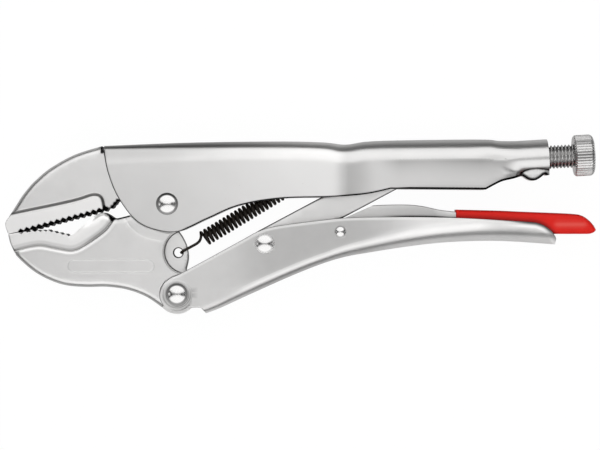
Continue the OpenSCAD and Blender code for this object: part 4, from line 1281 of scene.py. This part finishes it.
def make_knob():
    inputs = {"Radius": KNOB_R * MM, "Length": KNOB_LEN * MM, "Ribs": KNOB_RIBS, "Depth": RIB_DEPTH * MM,
              "Front Bevel": 1.0 * MM, "Back Round": 2.0 * MM}
    tree, v = rule_tree("ribbed knob", inputs)

    def profile(turn, row):
        side = (row * 1.3 - 0.15).clamp()
        face = (1 - row * (1 / FACE_PART)).clamp() + ((row - (1 - FACE_PART)) * (1 / FACE_PART)).clamp()
        along = side * v["Length"]
        front = (1 - along / v["Front Bevel"]).clamp()
        rear = (1 - (v["Length"] - along) / v["Back Round"]).clamp()
        skin = v["Radius"] - v["Front Bevel"] * front ** 2 * 0.85
        skin = skin - v["Back Round"] * (1 - (1 - rear ** 2).math("SQRT"))
        phase = (turn * v["Ribs"]).math("FRACT")
        groove = ((phase * 2 - 1).math("ABSOLUTE") * 2.2 - 0.9).clamp()
        depth = v["Depth"] * groove * (1 - front * 0.5) * (1 - rear * 0.6)
        # Painted shade in the grooves and at both ends, and painted bands of highlight and shade round the
        # knob by its angle.
        flank = (turn * (2 * math.pi)).math("SINE")
        bands = band(flank, 0.33, 5) * -0.3 + band(flank, -0.5, 5) * -0.35
        bands = bands + band(flank, 0.66, 10) * 0.3 + band(flank, 0, 4) * 0.1
        dark = groove * 0.34 + front * 0.15 + rear * 0.1 + bands
        return (skin - depth) * (1 - face), along, dark.clamp(-1, 1) * (1 - face * 0.8)
    finish_tree(tree, turned_shape(tree, KNOB_RIBS * 8 + 1, 60, profile), KNOB_PLATE)
    knob = made_by(tree, "knurled_knob_body", {}, on_screw(KNOB_S), KNOB_PLATE, smooth=50)
    start, end = KNOB_S - 2, KNOB_S + SPIGOT_LEN + 0.1
    return cut(knob, bar_on_screw("bore", start, end, SPIGOT_R + HOLE_PLAY, 48, KNOB_PLATE))


def spring_path():
    """Wire from the hole in the tang, through the coil, to the lug inside the upper handle."""
    along = np.array([math.cos(COIL_ANGLE), math.sin(COIL_ANGLE)])
    left = np.array([-along[1], along[0]])
    hook = np.array([[1.7, -0.3, -3.4], [1.3, -0.1, -2.2], [1.2, 0.05, -0.6], [1.25, 0.1, 1.2],
                     [1.7, 0.4, 2.6], [2.6, 1.0, 3.1], [5.6, 2.6, 3.1]]) + [*SPRING_HOLE, 0]
    lead = [[12.3, -16.7, 3.0], [13.5, -15.5, 2.9], [14.0, -13.8, 2.2]]
    a = np.linspace(0.25, COIL_TURNS, COIL_TURNS * COIL_STEPS + 1)
    middle = COIL_START + (a * COIL_PITCH)[:, None] * along
    coil = np.column_stack([middle + (COIL_R * np.sin(2 * math.pi * a))[:, None] * left,
                            COIL_R * np.cos(2 * math.pi * a)])
    end = COIL_START + COIL_TURNS * COIL_PITCH * along
    past = np.array([[*(end + s * along), z] for s, z in ((2, 2), (4.5, 0.6), (7, 0))])
    rear_hook = np.array([LUG_X, LUG_Y, 0]) + [[0, 0, 0], [1.6, -0.2, 0], [2.2, -2, 0]]
    front, rear = np.vstack([hook, lead, coil[:1]]), np.vstack([coil[-1:], past, rear_hook])
    return np.vstack([spline(front, 5)[:-1], coil, spline(rear, 5)[1:]])


def make_spring():
    path = spring_path()
    wire = bpy.data.meshes.new("wire")
    wire.from_pydata(((path + JAW_PIVOT) * MM).tolist(), [(i, i + 1) for i in range(len(path) - 1)], [])
    tree, v = rule_tree("wire along a path", {"Wire Radius": WIRE_R * MM, "Sides": 10})
    curve = node(tree, "GeometryNodeMeshToCurve", {}, {"Mesh": v["Geometry"]})
    round_wire = node(tree, "GeometryNodeCurvePrimitiveCircle", {},
                      {"Resolution": v["Sides"], "Radius": v["Wire Radius"]})
    tube = node(tree, "GeometryNodeCurveToMesh", {},
                {"Curve": curve, "Profile Curve": round_wire, "Fill Caps": True})
    finish_tree(tree, tube, SPRING_BLACK)
    return made_by(tree, "draw_spring_wire", {}, Matrix.Identity(4), SPRING_BLACK, smooth=50, start=wire)


# ---------------------------------------------------------------- the tool
upper = make_upper_handle()
lower = make_lower_handle()
fixed = make_fixed_jaw()
moving = make_moving_jaw()
link = make_toggle_link()
lever = make_release_lever()
sleeve = make_sleeve()
screw = make_screw()
knob = make_knob()
spring = make_spring()
domed = rivet_tree()
# Each rivet with the height of its dome and how dark the painted shade on the ring round it is.
jaw_rivet = make_rivet("jaw_pivot_rivet_head", domed, (0, 0), RIVET_R, RIVET_HEAD_R, 0.85, 0.95)
handle_rivet = make_rivet("lower_handle_rivet_head", domed, HANDLE_PIVOT, RIVET_R, RIVET_HEAD_R, 0.85, 0.85)
link_rivet = make_rivet("link_rivet_head", domed, LINK_PIVOT, LINK_RIVET_R, LINK_HEAD_R, 0.8, 0.25)
lever_rivet = make_rivet("release_lever_rivet_head", domed, LEVER_PIVOT, LEVER_RIVET_R, LEVER_HEAD_R,
                         0.6, 0.6)

PIECES = [(upper, "upper_frame", "upper_handle", "handle_steel"),
          (fixed, "upper_frame", "fixed_jaw", "jaw_steel"),
          (jaw_rivet, "upper_frame", "jaw_pivot_rivet", "rivet_steel"),
          (moving, "moving_jaw", "moving_jaw", "jaw_steel"),
          (lower, "lower_handle", "lower_handle", "handle_steel"),
          (handle_rivet, "lower_handle", "lower_handle_rivet", "rivet_steel"),
          (link_rivet, "lower_handle", "link_rivet", "rivet_steel"),
          (lever_rivet, "lower_handle", "release_lever_rivet", "rivet_steel"),
          (link, "toggle_link", "toggle_link", "handle_steel"),
          (lever, "release_lever", "release_lever", "handle_steel"),
          (sleeve, "release_lever", "release_lever_sleeve", "red_plastic"),
          (screw, "adjusting_screw", "adjusting_screw", "screw_steel"),
          (knob, "knurled_knob", "knurled_knob", "knob_steel")]
for piece, body, cad_node, finish_slot in PIECES:
    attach(piece, body)
    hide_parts(cad_node)
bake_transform(spring)
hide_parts("draw_spring")


# ---------------------------------------------------------------- floor, lights and camera
def make_floor():
    mesh = bpy.data.meshes.new("floor")
    mesh.from_pydata([(-4, -4, 0), (4, -4, 0), (4, 4, 0), (-4, 4, 0)], [], [(0, 1, 2, 3)])
    floor = bpy.data.objects.new("floor", mesh)
    bpy.context.scene.collection.objects.link(floor)
    floor.location.z = -0.0003
    material = bpy.data.materials.new("white_table")
    material.use_nodes = True
    tree = material.node_tree
    tree.nodes.clear()
    paper = node(tree, "ShaderNodeBsdfDiffuse", {}, {"Color": (0.92, 0.92, 0.92, 1)})
    glow = node(tree, "ShaderNodeEmission", {}, {"Color": (1, 1, 1, 1), "Strength": 1.02})
    ray = tree.nodes.new("ShaderNodeLightPath")
    kinds = ("Is Camera Ray", "Is Glossy Ray", "Is Transmission Ray")
    seen = [Value(tree, ray.outputs[kind]) for kind in kinds]
    seen = (seen[0] * 0.95 + seen[1] * 0.4 + seen[2] * 0.95).clamp()
    mixed_face = node(tree, "ShaderNodeMixShader", {}, {0: seen, 1: paper, 2: glow})
    node(tree, "ShaderNodeOutputMaterial", {}, {"Surface": mixed_face})
    mesh.materials.append(material)


def soft_light(name, at, aim, size, level):
    """An oval lamp whose face has the given brightness, 1 being white."""
    lamp = bpy.data.lights.new(name, "AREA")
    lamp.shape, (lamp.size, lamp.size_y) = "ELLIPSE", size
    lamp.energy = level * math.pi * size[0] * size[1] * math.pi / 4
    thing = bpy.data.objects.new(name, lamp)
    bpy.context.scene.collection.objects.link(thing)
    thing.location = at
    facing = (Vector(aim) - Vector(at)).to_track_quat("-Z", "Y")
    thing.rotation_euler = facing.to_matrix().to_euler()


make_floor()
soft_light("far_softbox", (0.0, 1.12, 1.1), (0.0, 1.12, 0), (2.5, 2.2), 1.25)
soft_light("near_softbox", (0.0, -1.2, 1.1), (0.0, -1.2, 0), (2.5, 2.2), 1.25)
soft_light("left_softbox", (-1.1, -0.04, 1.1), (-1.1, -0.04, 0), (0.4, 0.34), 1.2)
soft_light("right_softbox", (1.1, -0.04, 1.1), (1.1, -0.04, 0), (0.4, 0.34), 1.2)
world = bpy.data.worlds.new("studio")
bpy.context.scene.world = world
world.use_nodes = True
world.node_tree.nodes["Background"].inputs[0].default_value = (1, 1, 1, 1)
world.node_tree.nodes["Background"].inputs[1].default_value = 0.05

LENS_LENGTH, CAMERA_AT = 134.53, [55.84, -8.9, 950]
camera = bpy.data.cameras.new("camera")
camera.sensor_width, camera.lens = 36, LENS_LENGTH
viewer = bpy.data.objects.new("camera", camera)
bpy.context.scene.collection.objects.link(viewer)
viewer.location = [float(v) for v in (np.array(CAMERA_AT) + JAW_PIVOT) * MM]
viewer.rotation_euler = (0, 0, 0)
bpy.context.scene.camera = viewer
bpy.context.scene.view_settings.view_transform = "Standard"
